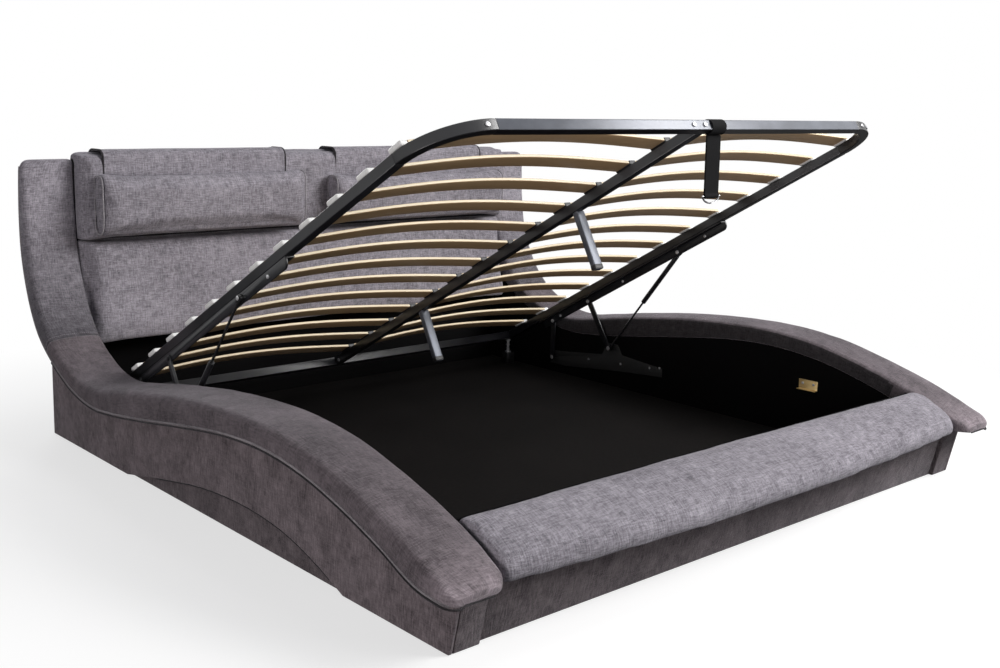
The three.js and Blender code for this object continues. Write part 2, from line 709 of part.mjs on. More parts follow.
// A flat link along +Y, with the pin it turns on in the base plate. A riveted far end has a head, no hole.
function link(length, riveted) {
  const half = LINK_WIDTH / 2;
  const outline = [
    ...arc(point(0, 0), half, QUARTER_TURN, HALF_TURN + QUARTER_TURN),
    ...arc(point(length, 0), half, -QUARTER_TURN, QUARTER_TURN),
  ];
  const holes = riveted ? [] : [{ x: length, y: 0, radius: PIN_RADIUS + PIN_CLEARANCE }];
  const inside = (linkInner + linkOuter) / 2;
  const parts = [
    slab(outline, linkInner, linkOuter, holes),
    pin(0, 0, PIN_RADIUS, inside, plateInner + BASE_PLATE_THICKNESS),
  ];
  if (riveted) parts.push(pin(length, 0, PIN_HEAD_RADIUS, inside, linkOuter + PIN_HEAD_HEIGHT));
  return joined(...parts);
}

// Plate on the lining with the holes that the links' pins turn in
function basePlate() {
  const bottom = rearBase.y - BASE_PLATE_BELOW;
  const rise = frontBase.y + BASE_PLATE_ABOVE - bottom;
  const tail = rearBase.x + BASE_PLATE_TAIL - frontBase.x;
  const outline = BASE_PLATE_SHARES.map(([along, up]) => point(
    frontBase.x + along * (along < 0 ? BASE_PLATE_REACH : tail),
    bottom + up * rise,
  ));
  const radius = PIN_RADIUS + PIN_CLEARANCE;
  const holes = [frontBase, rearBase].map(({ x, y }) => ({ x, y, radius }));
  return slab(outline, plateInner, plateInner + BASE_PLATE_THICKNESS, holes);
}

// Angle rail under the side tube, with the pins of the frame's three pivots
function liftRail() {
  const top = -TUBE_DEPTH - FIT_GAP;
  const web = block(
    [FRAME_HALF_WIDTH - RAIL_THICKNESS, FRAME_HALF_WIDTH],
    [RAIL_FOOT, RAIL_HEAD],
    [top - RAIL_WEB, top],
  );
  const flange = block(
    [FRAME_HALF_WIDTH - RAIL_FLANGE, FRAME_HALF_WIDTH],
    [RAIL_FOOT, RAIL_HEAD],
    [top - RAIL_THICKNESS, top],
  );
  const inside = FRAME_HALF_WIDTH - RAIL_THICKNESS / 2;
  const headAt = linkOuter + SIDE_GAP;
  return joined(
    web,
    flange,
    pin(FRONT_PIVOT, -PIVOT_DROP, PIN_RADIUS, inside, headAt + PIN_HEAD_HEIGHT / 2),
    pin(FRONT_PIVOT, -PIVOT_DROP, PIN_HEAD_RADIUS, headAt, headAt + PIN_HEAD_HEIGHT),
    pin(REAR_PIVOT, -PIVOT_DROP, PIN_HEAD_RADIUS, inside, linkInner - FIT_GAP),
    pin(STRUT_PIVOT, -PIVOT_DROP, PIN_HEAD_RADIUS, inside, eyeInner - FIT_GAP),
  );
}

// Strut pieces, drawn upright: the eye at the origin and the body along +Z. A riveted eye has no hole.
function eye(riveted) {
  const neck = CYLINDER_RADIUS - CYLINDER_WALL;
  const rise = EYE_REACH + CYLINDER_WALL / 2;
  const outline = [
    point(neck, rise),
    point(-neck, rise),
    ...arc(point(0, 0), EYE_RADIUS, HALF_TURN, FULL_TURN, ARC_STEPS * 2),
  ];
  const half = EYE_THICKNESS / 2;
  return slab(outline, -half, half, riveted ? [] : [{ x: 0, y: 0, radius: PIN_RADIUS + PIN_CLEARANCE }]);
}

function upright(profile) {
  return new THREE.LatheGeometry(profile, ROUND_STEPS).rotateX(QUARTER_TURN);
}

function strutCylinder(riveted) {
  const bore = ROD_RADIUS + ROD_CLEARANCE;
  const tube = upright([
    point(0, EYE_REACH),
    point(CYLINDER_RADIUS, EYE_REACH),
    point(CYLINDER_RADIUS, CYLINDER_LENGTH),
    point(bore, CYLINDER_LENGTH),
    point(bore, EYE_REACH + CYLINDER_WALL),
    point(0, EYE_REACH + CYLINDER_WALL),
  ]);
  return joined(tube, eye(riveted));
}

function strutRod(riveted) {
  const length = strutLength - CYLINDER_LENGTH + ROD_END;
  const rod = upright([
    point(0, EYE_REACH),
    point(ROD_RADIUS, EYE_REACH),
    point(ROD_RADIUS, length),
    point(0, length),
  ]);
  return joined(rod, eye(riveted));
}

// Pull strap: a loop of webbing round the foot tube that ends in an eye for the ring
function strapLoop() {
  const outer = STRAP_LOOP_RADIUS + STRAP_THICKNESS;
  const halfTail = STRAP_THICKNESS;
  const eyeOuterRadius = STRAP_EYE_RADIUS + STRAP_THICKNESS;
  const near = STRAP_CENTRE - STRAP_WIDTH / 2;
  const far = STRAP_CENTRE + STRAP_WIDTH / 2;
  const disc = (y, z, radius, hole) => {
    const outline = [];
    for (let step = 0; step < ROUND_STEPS * 2; step += 1) {
      const angle = HALF_TURN * (step / ROUND_STEPS);
      outline.push(point(y + radius * Math.cos(angle), z + radius * Math.sin(angle)));
    }
    return slab(outline, near, far, [{ x: y, y: z, radius: hole }]);
  };
  const tail = block(
    [near, far],
    [-halfTail, halfTail],
    [-STRAP_LENGTH + STRAP_EYE_RADIUS + STRAP_THICKNESS / 2, -STRAP_LOOP_RADIUS - STRAP_THICKNESS / 2],
  );
  const loop = disc(0, 0, outer, STRAP_LOOP_RADIUS);
  const hem = disc(0, -STRAP_LENGTH, eyeOuterRadius, STRAP_EYE_RADIUS);
  return joined(loop, tail, hem);
}

// A straight bar with a flattened half round bow below it
function strapRing() {
  const down = Z_AXIS.clone().multiplyScalar(RING_DROP / RING_HALF_WIDTH);
  const path = new Bend(new THREE.Vector3(), RING_HALF_WIDTH, HALF_TURN, FULL_TURN, X_AXIS, down);
  const wire = new THREE.Shape();
  wire.absarc(0, 0, RING_WIRE_RADIUS, 0, FULL_TURN, false);
  const settings = { steps: ROUND_STEPS, extrudePath: path, bevelEnabled: false, curveSegments: ARC_STEPS };
  const bow = new THREE.ExtrudeGeometry(wire, settings);
  const reach = RING_HALF_WIDTH + RING_WIRE_RADIUS;
  return joined(bow, pin(0, 0, RING_WIRE_RADIUS, -reach, reach)).translate(STRAP_CENTRE, 0, -STRAP_LENGTH);
}

const model = new THREE.Group();
const bed = new THREE.Group();
model.add(bed);

function place(parent, name, geometry, finish) {
  const mesh = new THREE.Mesh(geometry, finishes[finish]);
  mesh.name = name;
  parent.add(mesh);
  return mesh;
}

// A piece made for the right of the bed, and its mirror image on the left
function placePair(parent, name, geometry, finish) {
  place(parent, name + "_right", geometry, finish);
  place(parent, name + "_left", geometry, finish).scale.x = -1;
}

// Upholstered base
const wallTo = WALL_OUTER - FIT_GAP;
placePair(bed, "side_panel", slab(panelOutline, WALL_OUTER, HALF_WIDTH), "chenille");
placePair(bed, "side_wall", slab(wallOutline, WALL_INNER, wallTo), "chenille");
placePair(bed, "side_lining", slab(liningOutline, INNER_HALF_WIDTH, WALL_INNER - FIT_GAP), "lining");
const panelHalf = WALL_INNER - FIT_GAP;
place(bed, "foot_panel", slab(footPanelShape, -panelHalf, panelHalf), "chenille");
place(bed, "foot_lining", block(
  [-betweenBands, betweenBands],
  [FOOT_DEPTH + FIT_GAP, FOOT_LINING_FACE],
  [0, FOOT_LINING_HEIGHT],
), "lining");
place(bed, "foot_pad", footPad(), "chenille");
place(bed, "head_wall", block(
  [-betweenBands, betweenBands],
  [HEAD_WALL_FACE, HEAD_BACK],
  [0, LOWER_PAD_BOTTOM - FIT_GAP],
), "lining");
place(bed, "floor_board", floorBoard(), "board");

// Bands and wings
placePair(bed, "band_board", bandLength(BOARD_STEPS, 0, boardLayer), "chenille");
placePair(bed, "band_pad", bandLength(SEAM_STATION, 0, padLayer), "chenille");
placePair(bed, "wing_pad", bandLength(BOARD_STEPS, SEAM_STATION, padLayer), "chenille");

// Headboard
place(bed, "headboard_frame", block(
  [-betweenBands, betweenBands],
  [boardFront, boardBack],
  [0, boardTop],
), "board");
const padEnds = endedStations(PAD_STEPS, PAD_EDGE / (betweenBands * 2));
const headboardPad = (profileAt) => loftAcross(-betweenBands, betweenBands, padEnds, profileAt);
place(bed, "headboard_lower_pad", headboardPad(lowerPadProfile), "chenille");
place(bed, "headboard_upper_pad", headboardPad(upperPadProfile), "chenille");
for (const [side, sizes] of Object.entries(BOLSTERS)) {
  place(bed, "bolster_" + side, bolster(sizes), "chenille");
}

// Lift mechanism on the base
placePair(bed, "base_plate", basePlate(), "steel");

function placeLink(name, base, top, geometry) {
  const group = new THREE.Group();
  group.name = name + "s";
  group.position.set(0, base.x, base.y);
  group.rotation.x = Math.atan2(top.y - base.y, top.x - base.x);
  bed.add(group);
  placePair(group, name, geometry, "steel");
}
placeLink("front_link", frontBase, frontTop, link(FRONT_LINK_LENGTH, false));
placeLink("rear_link", rearBase, rearTop, link(REAR_LINK_LENGTH, true));

// Gas struts: the left one stands on its cylinder and the right one hangs from its cylinder
const strutLean = Math.atan2(frontBase.x - strutTop.x, strutTop.y - frontBase.y);
const lowerStruts = new THREE.Group();
lowerStruts.name = "lower_struts";
lowerStruts.position.set(0, frontBase.x, frontBase.y);
lowerStruts.rotation.x = strutLean;
const upperStruts = new THREE.Group();
upperStruts.name = "upper_struts";
upperStruts.position.set(0, strutTop.x, strutTop.y);
upperStruts.rotation.x = strutLean + HALF_TURN;
bed.add(lowerStruts, upperStruts);
place(lowerStruts, "strut_cylinder_left", strutCylinder(false), "steel").position.x = -strutX;
place(lowerStruts, "strut_rod_right", strutRod(false), "bright").position.x = strutX;
place(upperStruts, "strut_cylinder_right", strutCylinder(true), "steel").position.x = strutX;
place(upperStruts, "strut_rod_left", strutRod(true), "bright").position.x = -strutX;

// Lift frame
const frame = new THREE.Group();
frame.name = "lift_frame";
frame.position.set(0, frameOpen.x, frameOpen.y);
frame.rotation.x = -tilt;
bed.add(frame);
placePair(frame, "frame_side", tubeAlongY(cornerY + FIT_GAP, FRAME_LENGTH, sideTubeX), "steel");
placePair(frame, "frame_corner", cornerTube(), "steel");
place(frame, "frame_foot_tube", footTube(), "steel");
const headReach = sideTubeX - TUBE_WIDTH / 2 - FIT_GAP;
place(frame, "frame_head_tube", tubeAlongX(-headReach, headReach, headTubeY), "steel");
const midFrom = footTubeY + TUBE_WIDTH / 2 + FIT_GAP;
const midTo = headTubeY - TUBE_WIDTH / 2 - FIT_GAP;
place(frame, "frame_mid_rail", tubeAlongY(midFrom, midTo, 0), "steel");
placePair(frame, "lift_rail", liftRail(), "steel");
const legReach = CLOSED_HEIGHT - FLOOR_TOP - LEG_CLEARANCE;
LEG_SHARES.forEach((share, order) => place(frame, "support_leg_" + ["foot", "head"][order], block(
  [-LEG_WIDTH / 2, LEG_WIDTH / 2],
  [share * FRAME_LENGTH - LEG_DEPTH / 2, share * FRAME_LENGTH + LEG_DEPTH / 2],
  [-legReach, -TUBE_DEPTH - FIT_GAP],
), "steel"));
for (let row = 0; row < SLAT_ROWS; row += 1) {
  const slats = place(frame, "slat_row_" + String(row + 1).padStart(2, "0"), slatRow(), "birch");
  slats.position.y = SLAT_FIRST + row * SLAT_PITCH;
}

// Pull strap, hanging upright from the foot tube
const strap = new THREE.Group();
strap.name = "strap";
const strapPlace = openPlace(footTubeY, TUBE_DEPTH / 2);
strap.position.set(0, strapPlace.x, strapPlace.y);
bed.add(strap);
place(strap, "pull_strap", strapLoop(), "webbing");
place(strap, "strap_ring", strapRing(), "bright");

// Corner bracket on the right-hand lining: an upright leaf with a lip along its foot
const bracketFace = INNER_HALF_WIDTH - FIT_GAP;
const bracketAlong = [BRACKET_CENTRE_Y - BRACKET_WIDTH / 2, BRACKET_CENTRE_Y + BRACKET_WIDTH / 2];
const bracketLeaf = block(
  [bracketFace - BRACKET_THICKNESS, bracketFace],
  bracketAlong,
  [BRACKET_BOTTOM, BRACKET_BOTTOM + BRACKET_HEIGHT],
);
const bracketLip = block(
  [bracketFace - BRACKET_LIP, bracketFace],
  bracketAlong,
  [BRACKET_BOTTOM, BRACKET_BOTTOM + BRACKET_THICKNESS],
);
place(bed, "corner_bracket", joined(bracketLeaf, bracketLip), "brass");

// The origin is on the floor under the middle of the whole bed
const whole = new THREE.Box3().setFromObject(model, true);
bed.position.y = -(whole.min.y + whole.max.y) / 2;

export default model;
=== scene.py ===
# %% [markdown]
# This lesson dresses an upholstered storage bed. Its slatted platform stands open on gas struts.
# The imported model gives the places and the main sizes, so the frame is loaded first. What the solids
# leave out, such as bolts, stitches and colours, was read from the photograph or judged.

# %% Load the frame
import math
from bisect import bisect_right

import bmesh
import bpy
from mathutils import Matrix, Vector, noise
from mathutils.bvhtree import BVHTree


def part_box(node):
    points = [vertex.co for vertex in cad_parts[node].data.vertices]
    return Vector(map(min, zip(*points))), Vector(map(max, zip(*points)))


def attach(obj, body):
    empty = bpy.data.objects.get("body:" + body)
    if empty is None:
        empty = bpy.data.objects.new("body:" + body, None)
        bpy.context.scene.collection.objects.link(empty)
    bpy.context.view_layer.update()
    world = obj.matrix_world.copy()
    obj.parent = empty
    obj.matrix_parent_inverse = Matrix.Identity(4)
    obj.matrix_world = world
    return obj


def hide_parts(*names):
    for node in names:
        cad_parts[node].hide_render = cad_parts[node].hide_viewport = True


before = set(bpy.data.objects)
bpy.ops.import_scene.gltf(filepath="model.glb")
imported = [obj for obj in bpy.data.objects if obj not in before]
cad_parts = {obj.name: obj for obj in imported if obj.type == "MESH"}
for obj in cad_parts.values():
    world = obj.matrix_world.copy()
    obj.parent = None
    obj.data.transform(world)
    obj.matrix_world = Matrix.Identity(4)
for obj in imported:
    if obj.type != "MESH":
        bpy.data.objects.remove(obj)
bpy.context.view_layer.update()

# %% [markdown]
# The side's length, the head's height and the curve of the bands are the same sizes that the solids have.
# The part's origin lies under its middle, so the foot of the bed is found from the side wall's far end.
# Each row of shares is a place along the side, a height and a thickness of the bands.

# %% Sizes of the bed
SIDES = ((-1, "left"), (1, "right"))
SIDE_LENGTH = 2.124
HEAD_HEIGHT = 0.95
INNER_HALF = 0.929
PIECE_GAP = 0.0006
BAND_WIDTH = 0.171
BAND_THICKNESS = 0.066
FOOT_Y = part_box("side_wall_right")[1].y - SIDE_LENGTH
TILT = math.radians(28.6)
BAND_SHARES = [
    (-0.045, 0.16, 0.4), (0.009, 0.172, 0.95), (0.066, 0.221, 0.92), (0.137, 0.272, 0.86),
    (0.212, 0.31, 0.86), (0.297, 0.328, 0.88), (0.386, 0.32, 0.97), (0.49, 0.29, 1.14),
    (0.603, 0.252, 1.2), (0.697, 0.225, 1.08), (0.763, 0.216, 0.92), (0.829, 0.238, 0.74),
    (0.885, 0.284, 0.7), (0.928, 0.333, 0.84), (0.96, 0.388, 0.97), (0.986, 0.468, 1.0),
    (1.005, 0.563, 0.97), (1.016, 0.658, 0.94), (1.019, 0.763, 0.86), (1.017, 0.863, 0.66),
    (1.012, 0.962, 0.42),
]
SEAM_SHARE = 13 / 20
print("the foot of the bed is at y", round(FOOT_Y, 4))

# %% [markdown]
# Every finish is made of nodes. A few short helpers keep the node trees readable: one sets or links an
# input, one adds a node, and one makes the thin noise that threads, grain and dust are all made from.

# %% Node helpers
FINISHES = {}
WEAVE = "weave"


def put(tree, socket, value):
    """Link another node's output to an input, or set the input's own value."""
    if isinstance(value, bpy.types.NodeSocket):
        tree.links.new(value, socket)
    else:
        socket.default_value = value


def node(tree, kind, **values):
    made = tree.nodes.new(kind)
    for name, value in values.items():
        if hasattr(made, name):
            setattr(made, name, value)
        else:
            put(tree, made.inputs[name.replace("_", " ")], value)
    return made


def streaks(tree, source, scale, detail, rough=0.6):
    mapping = node(tree, "ShaderNodeMapping", Vector=source, Scale=scale)
    return node(tree, "ShaderNodeTexNoise", Vector=mapping.outputs["Vector"], Scale=1.0, Detail=detail,
                Roughness=rough).outputs["Fac"]


def spread(tree, value, low, high):
    """Bring the values between low and high to the span from 0 to 1."""
    ramp = node(tree, "ShaderNodeMapRange", clamp=True, Value=value, From_Min=low, From_Max=high)
    return ramp.outputs["Result"]


def sums(tree, first, second, operation="ADD"):
    made = node(tree, "ShaderNodeMath", operation=operation)
    for place, value in enumerate((first, second)):
        put(tree, made.inputs[place], value)
    return made.outputs["Value"]


def times(tree, first, second):
    return sums(tree, first, second, "MULTIPLY")


def mean(tree, first, second):
    return times(tree, sums(tree, first, second), 0.5)


def blend_colours(tree, factor, dark, light):
    mix = node(tree, "ShaderNodeMix", data_type="RGBA", A=(*dark, 1), B=(*light, 1), Factor=factor)
    return mix.outputs["Result"]


def blend_shaders(tree, factor, first, second):
    mix = node(tree, "ShaderNodeMixShader", Fac=factor)
    for place, shader in ((1, first), (2, second)):
        put(tree, mix.inputs[place], shader.outputs[0])
    return mix


def new_finish(name, rough, **values):
    finish = bpy.data.materials.new(name)
    finish.use_nodes = True
    tree = finish.node_tree
    shader = tree.nodes["Principled BSDF"]
    for socket, value in {"Roughness": rough, **values}.items():
        shader.inputs[socket.replace("_", " ")].default_value = value
    FINISHES[name] = finish
    return tree, shader


def raise_grain(tree, shader, height, strength, distance):
    bump = node(tree, "ShaderNodeBump", Height=height, Strength=strength, Distance=distance)
    put(tree, shader.inputs["Normal"], bump.outputs["Normal"])


def object_place(tree):
    return node(tree, "ShaderNodeTexCoord").outputs["Object"]


# %% [markdown]
# The bed is covered in a grey chenille. Its weft has thick and thin places, so short streaks run both
# ways over the cloth, and the pile takes a shade where it was brushed. The pattern lies on a UV map in
# metres, so the threads keep one size on every cushion and follow the bands round their curve.

# %% Chenille
PILE = {"Sheen_Weight": 0.3, "Sheen_Roughness": 0.4, "Sheen_Tint": (0.86, 0.84, 0.9, 1),
        "Specular_IOR_Level": 0.12}
THREAD_SHARE, FIBRE_SHARE, NAP_SHARE = 0.48, 0.29, 0.23


def chenille(name, dark, light, turn=1.0, shade=None, crushed=0.14, brush=(3.2, 4.4)):
    """Cloth of two tones: turn favours one thread direction, and an optional ramp along one axis
    multiplies the colour, a painted shade or painted light towards one end.
    """
    tree, shader = new_finish(name, 0.9, **PILE)
    cloth = node(tree, "ShaderNodeUVMap", uv_map=WEAVE).outputs["UV"]
    across, along, fine_across, fine_along, nap, brushed = [
        spread(tree, streaks(tree, cloth, (*scale, 1), detail, rough), low, high)
        for scale, detail, rough, low, high in (
            ((36, 260), 3, 0.6, 0.38, 0.66), ((250, 34), 3, 0.6, 0.38, 0.66),
            ((150, 820), 2, 0.6, 0.35, 0.68), ((820, 170), 2, 0.6, 0.35, 0.68),
            ((26, 34), 4, 0.7, 0.34, 0.68), (brush, 4, 0.6, 0.32, 0.68))]
    threads = mean(tree, times(tree, across, turn), times(tree, along, 2 - turn))
    fibres = mean(tree, fine_across, fine_along)
    body = times(tree, brushed, crushed)
    for part, share in ((threads, THREAD_SHARE), (fibres, FIBRE_SHARE), (nap, NAP_SHARE)):
        body = sums(tree, body, times(tree, part, share * (1.02 - crushed)))
    colour = blend_colours(tree, spread(tree, body, 0.2, 0.82), dark, light)
    # Painted shade and painted light: the colour is multiplied by a ramp along one axis, darker or
    # lighter towards one end.
    if shade:
        axis, low, high, share = shade
        apart = node(tree, "ShaderNodeSeparateXYZ", Vector=object_place(tree))
        painted_light_tint = blend_colours(tree, spread(tree, apart.outputs[axis], low, high), (share,) * 3, (1, 1, 1))
        colour = node(tree, "ShaderNodeMix", data_type="RGBA", blend_type="MULTIPLY", Factor=1, A=colour,
                      B=painted_light_tint).outputs["Result"]
    put(tree, shader.inputs["Base Color"], colour)
    raise_grain(tree, shader, sums(tree, threads, fibres), 0.55, 0.0014)


chenille("upholstery", (0.105, 0.097, 0.112), (0.44, 0.415, 0.46))
# Painted shade: the side panels get a darker, browner tone of the same chenille, for the shade on sides
# that face away from the key lamp.
chenille("side_cloth", (0.066, 0.054, 0.058), (0.31, 0.262, 0.278), 0.6, crushed=0.26, brush=(12, 6))
# Painted shade: a still darker tone for the walls set back in the arches and for the foot panel in the
# shade under the pad's overhang.
chenille("wall_cloth", (0.046, 0.038, 0.041), (0.235, 0.2, 0.21), 0.6, crushed=0.26, brush=(12, 6))
# Painted shade and painted light: the bands get a darker tone for their tops, which catch little light,
# and the tone is lit up nearly twice towards the foot tip, where the tip turns to face the lamp.
chenille("band_shade_and_light_cloth", (0.0485, 0.0405, 0.044), (0.221, 0.188, 0.204),
         shade=("Y", FOOT_Y - 0.09, FOOT_Y + 0.03, 1.9), crushed=0.3, brush=(9, 6))
# Painted shade: a nearly black tone for the rails' inner faces, which lie in the shade of the bed.
chenille("inner_shade_cloth", (0.024, 0.021, 0.023), (0.08, 0.073, 0.077))
# Painted shade: the wings' tone is a little lighter than the cushions' at the top and darkens towards the
# bottom, to 0.38 of it at the wing's foot.
chenille("wing_cloth", (0.12, 0.11, 0.127), (0.5, 0.47, 0.52), shade=("Z", 0.38, 0.74, 0.38))
chenille("piping", (0.16, 0.15, 0.165), (0.5, 0.48, 0.5))
chenille("cord_cloth", (0.09, 0.082, 0.088), (0.42, 0.39, 0.405), crushed=0.5, brush=(3, 2))
# Painted shadow: this nearly black cloth covers the cords that stand for the shadow lines under the bands
# and along the arches, and the flaps' bindings, whose dark is partly their own and partly painted shadow.
chenille("binding", (0.012, 0.011, 0.012), (0.055, 0.05, 0.053))

# %% [markdown]
# Inside, boards are covered with thin black lining cloth. It is nearly black, but the light still
# catches its felted fibres and the dust on it. The floor board has a dark, slightly worn face. The
# strap's webbing and the cloth behind the headboard use the same recipe.

# %% Linings and boards
def uneven_gloss(tree, shader, cloud, low, high):
    gloss = node(tree, "ShaderNodeMapRange", Value=cloud, To_Min=low, To_Max=high)
    put(tree, shader.inputs["Roughness"], gloss.outputs["Result"])


def felted(name, dark, light, scale, rough, bump):
    tree, shader = new_finish(name, rough, Specular_IOR_Level=0.04)
    place = object_place(tree)
    fibres = streaks(tree, place, (scale,) * 3, 6, 0.7)
    cloud = streaks(tree, place, (2.6, 2.6, 3.1), 3)
    both = mean(tree, spread(tree, fibres, 0.3, 0.7), spread(tree, cloud, 0.3, 0.75))
    put(tree, shader.inputs["Base Color"], blend_colours(tree, both, dark, light))
    uneven_gloss(tree, shader, cloud, rough - 0.12, min(1.0, rough + 0.05))
    raise_grain(tree, shader, fibres, 0.35, bump)


felted("lining", (0.0022, 0.0021, 0.0023), (0.0065, 0.0062, 0.0065), 420, 0.95, 0.0006)
felted("board", (0.0031, 0.0028, 0.0028), (0.0108, 0.0097, 0.0095), 90, 0.8, 0.0005)
felted("backing", (0.016, 0.0155, 0.0165), (0.042, 0.041, 0.043), 260, 0.95, 0.0008)
felted("webbing", (0.006, 0.006, 0.0065), (0.02, 0.02, 0.021), 900, 0.8, 0.0006)

# %% [markdown]
# The lift frame is welded tube with a satin black powder coat. A powder coat has a faint orange peel and
# small differences in gloss. Bolts, the ring and the plastic parts use the same recipe with other
# colours. The foot tube's front and the support legs get a lighter blue-grey coat, a painted reflection
# of the lamps on the black coat, and the base plates a darker one, painted shade inside the storage
# space.

# %% Metals
def coated(name, dark, light, rough, metal, peel=0.0004):
    tree, shader = new_finish(name, rough, Metallic=metal)
    place = object_place(tree)
    cloud = streaks(tree, place, (7,) * 3, 4)
    tone = blend_colours(tree, spread(tree, cloud, 0.35, 0.7), dark, light)
    put(tree, shader.inputs["Base Color"], tone)
    uneven_gloss(tree, shader, cloud, max(0.05, rough - 0.07), rough + 0.09)
    raise_grain(tree, shader, streaks(tree, place, (260,) * 3, 2), 0.2, peel)


coated("black_steel", (0.008, 0.008, 0.0095), (0.017, 0.0175, 0.021), 0.3, 0.0)
# Painted shade: the base plates get a steel far darker than the frame's, for the shade inside the storage
# space.
coated("dull_steel", (0.002, 0.002, 0.0022), (0.0045, 0.0045, 0.005), 0.7, 0.0)
coated("strut_rod", (0.01, 0.01, 0.011), (0.02, 0.02, 0.022), 0.18, 0.0, 0.0001)
# Painted reflection: a lighter blue-grey coat for the foot tube's front, standing for the lamps' sheen on
# black powder coat.
coated("front_sheen_steel", (0.095, 0.102, 0.12), (0.15, 0.16, 0.188), 0.34, 0.2)
# Painted reflection: a lighter blue-grey coat for the support legs, standing for the lamps' sheen on
# their black coat.
coated("leg_steel", (0.075, 0.082, 0.1), (0.12, 0.13, 0.155), 0.36, 0.35)
coated("bolt_steel", (0.6, 0.6, 0.62), (0.82, 0.82, 0.84), 0.3, 0.55, 0.0001)
coated("ring_steel", (0.6, 0.6, 0.62), (0.78, 0.78, 0.8), 0.16, 1.0, 0.0001)
coated("brass", (0.62, 0.43, 0.17), (0.85, 0.66, 0.33), 0.3, 0.55, 0.0001)
coated("slat_cap", (0.88, 0.88, 0.86), (0.96, 0.96, 0.94), 0.4, 0.0)
coated("black_plastic", (0.007, 0.007, 0.008), (0.014, 0.014, 0.015), 0.48, 0.0)

# %% [markdown]
# The slats are bent birch ply. Their flat faces show a tan veneer with long grain, and their sawn
# edges show pale layers. Both are made from streaks that are stretched a long way across the bed.

# %% Birch
def veneer(name, dark, light, stretch, rough):
    tree, shader = new_finish(name, rough, Coat_Weight=0.25, Coat_Roughness=0.25)
    place = object_place(tree)
    grain = streaks(tree, place, stretch, 6, 0.65)
    figure = streaks(tree, place, (1.4, 26, 26), 3)
    tone = streaks(tree, place, (0.6, 6.2, 6.2), 1)
    both = mean(tree, spread(tree, grain, 0.3, 0.7), spread(tree, figure, 0.3, 0.7))
    both = mean(tree, both, spread(tree, tone, 0.3, 0.7))
    put(tree, shader.inputs["Base Color"], blend_colours(tree, both, dark, light))
    raise_grain(tree, shader, grain, 0.15, 0.0004)


veneer("birch", (0.47, 0.29, 0.14), (0.74, 0.52, 0.3), (5, 240, 240), 0.42)
veneer("birch_edge", (0.66, 0.52, 0.32), (0.86, 0.76, 0.55), (4, 500, 900), 0.55)
print("finishes:", ", ".join(FINISHES))

# %% [markdown]
# A piece is finished in one place: its bmesh becomes an object at the origin, it gets its finish, it
# rides on its body and it may stand for solids of the frame. Cloth also gets its weave map here. The
# map takes, for each face, the two directions that the face looks along least, in metres.

# %% Finishing a piece
WOVEN_SLOTS = ("upholstery", "webbing")


def lay_weave(work):
    layer = work.loops.layers.uv.new(WEAVE)
    for face in work.faces:
        turned = [abs(part) for part in face.normal]
        main = turned.index(max(turned))
        for loop in face.loops:
            x, y, z = loop.vert.co
            loop[layer].uv = ((y, z), (x, z), (x, y))[main]


def sharp_edges(work, least):
    return [edge for edge in work.edges
            if len(edge.link_faces) == 2 and edge.calc_face_angle(0) > math.radians(least)]


def new_object(name, data):
    made = bpy.data.objects.new(name, data)
    bpy.context.scene.collection.objects.link(made)
    return made


def finished(work, name, body, slot, finish=None, stands_for=(), crease=40):
    if slot in WOVEN_SLOTS and not work.loops.layers.uv.get(WEAVE):
        lay_weave(work)
    for face in work.faces:
        face.smooth = True
    for edge in sharp_edges(work, crease):
        edge.smooth = False
    mesh = bpy.data.meshes.new(name)
    work.to_mesh(mesh)
    work.free()
    piece = new_object(name, mesh)
    finish = finish or slot
    for one in finish if isinstance(finish, tuple) else (finish,):
        mesh.materials.append(FINISHES[one])
    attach(piece, body)
    if stands_for:
        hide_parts(*stands_for)
    return piece


def rounder(piece):
    step = piece.modifiers.new("rounder", "SUBSURF")
    step.levels = step.render_levels = 1


# %% [markdown]
# Long shapes are swept: a ring of edges is extruded from section to section, and each new ring is
# moved to its own points. The tool keeps the right order because every new point is joined to its old
# one by an edge. Round cords and tubes use the same tool with a circle for a section.

# %% Sweeping
def sweep(sections, work=None):
    work = work or bmesh.new()
    ring = [work.verts.new(spot) for spot in sections[0]]
    edges = [work.edges.new((ring[place - 1], ring[place])) for place in range(len(ring))]
    first, swept = ring, list(ring)
    for section in sections[1:]:
        grown = bmesh.ops.extrude_edge_only(work, edges=edges)["geom"]
        fresh = {part for part in grown if isinstance(part, bmesh.types.BMVert)}
        edges = [part for part in grown
                 if isinstance(part, bmesh.types.BMEdge) and set(part.verts) <= fresh]
        ring = [next(edge.other_vert(old) for edge in old.link_edges if edge.other_vert(old) in fresh)
                for old in ring]
        for vert, spot in zip(ring, section):
            vert.co = spot
        swept += ring
    work.faces.new(first)
    work.faces.new(ring)
    faces = {face for vert in swept for face in vert.link_faces}
    bmesh.ops.recalc_face_normals(work, faces=list(faces))
    return work


def evenly(start, end, steps, inset=0.0):
    """Places from start to end, each end a little way in."""
    return [start + inset + (end - start - 2 * inset) * step / steps for step in range(steps + 1)]


def round_corner(centre, radius, start, end, steps=5):
    turns = [math.radians(turn) for turn in evenly(start, end, steps)]
    return [(centre[0] + radius * math.cos(turn), centre[1] + radius * math.sin(turn)) for turn in turns]


def distances(points):
    """How far each point lies from the first one, along the line."""
    reached = [0.0]
    for one, two in zip(points, points[1:]):
        reached.append(reached[-1] + (Vector(two) - Vector(one)).length)
    return reached


def line_length(points):
    return distances(points)[-1]


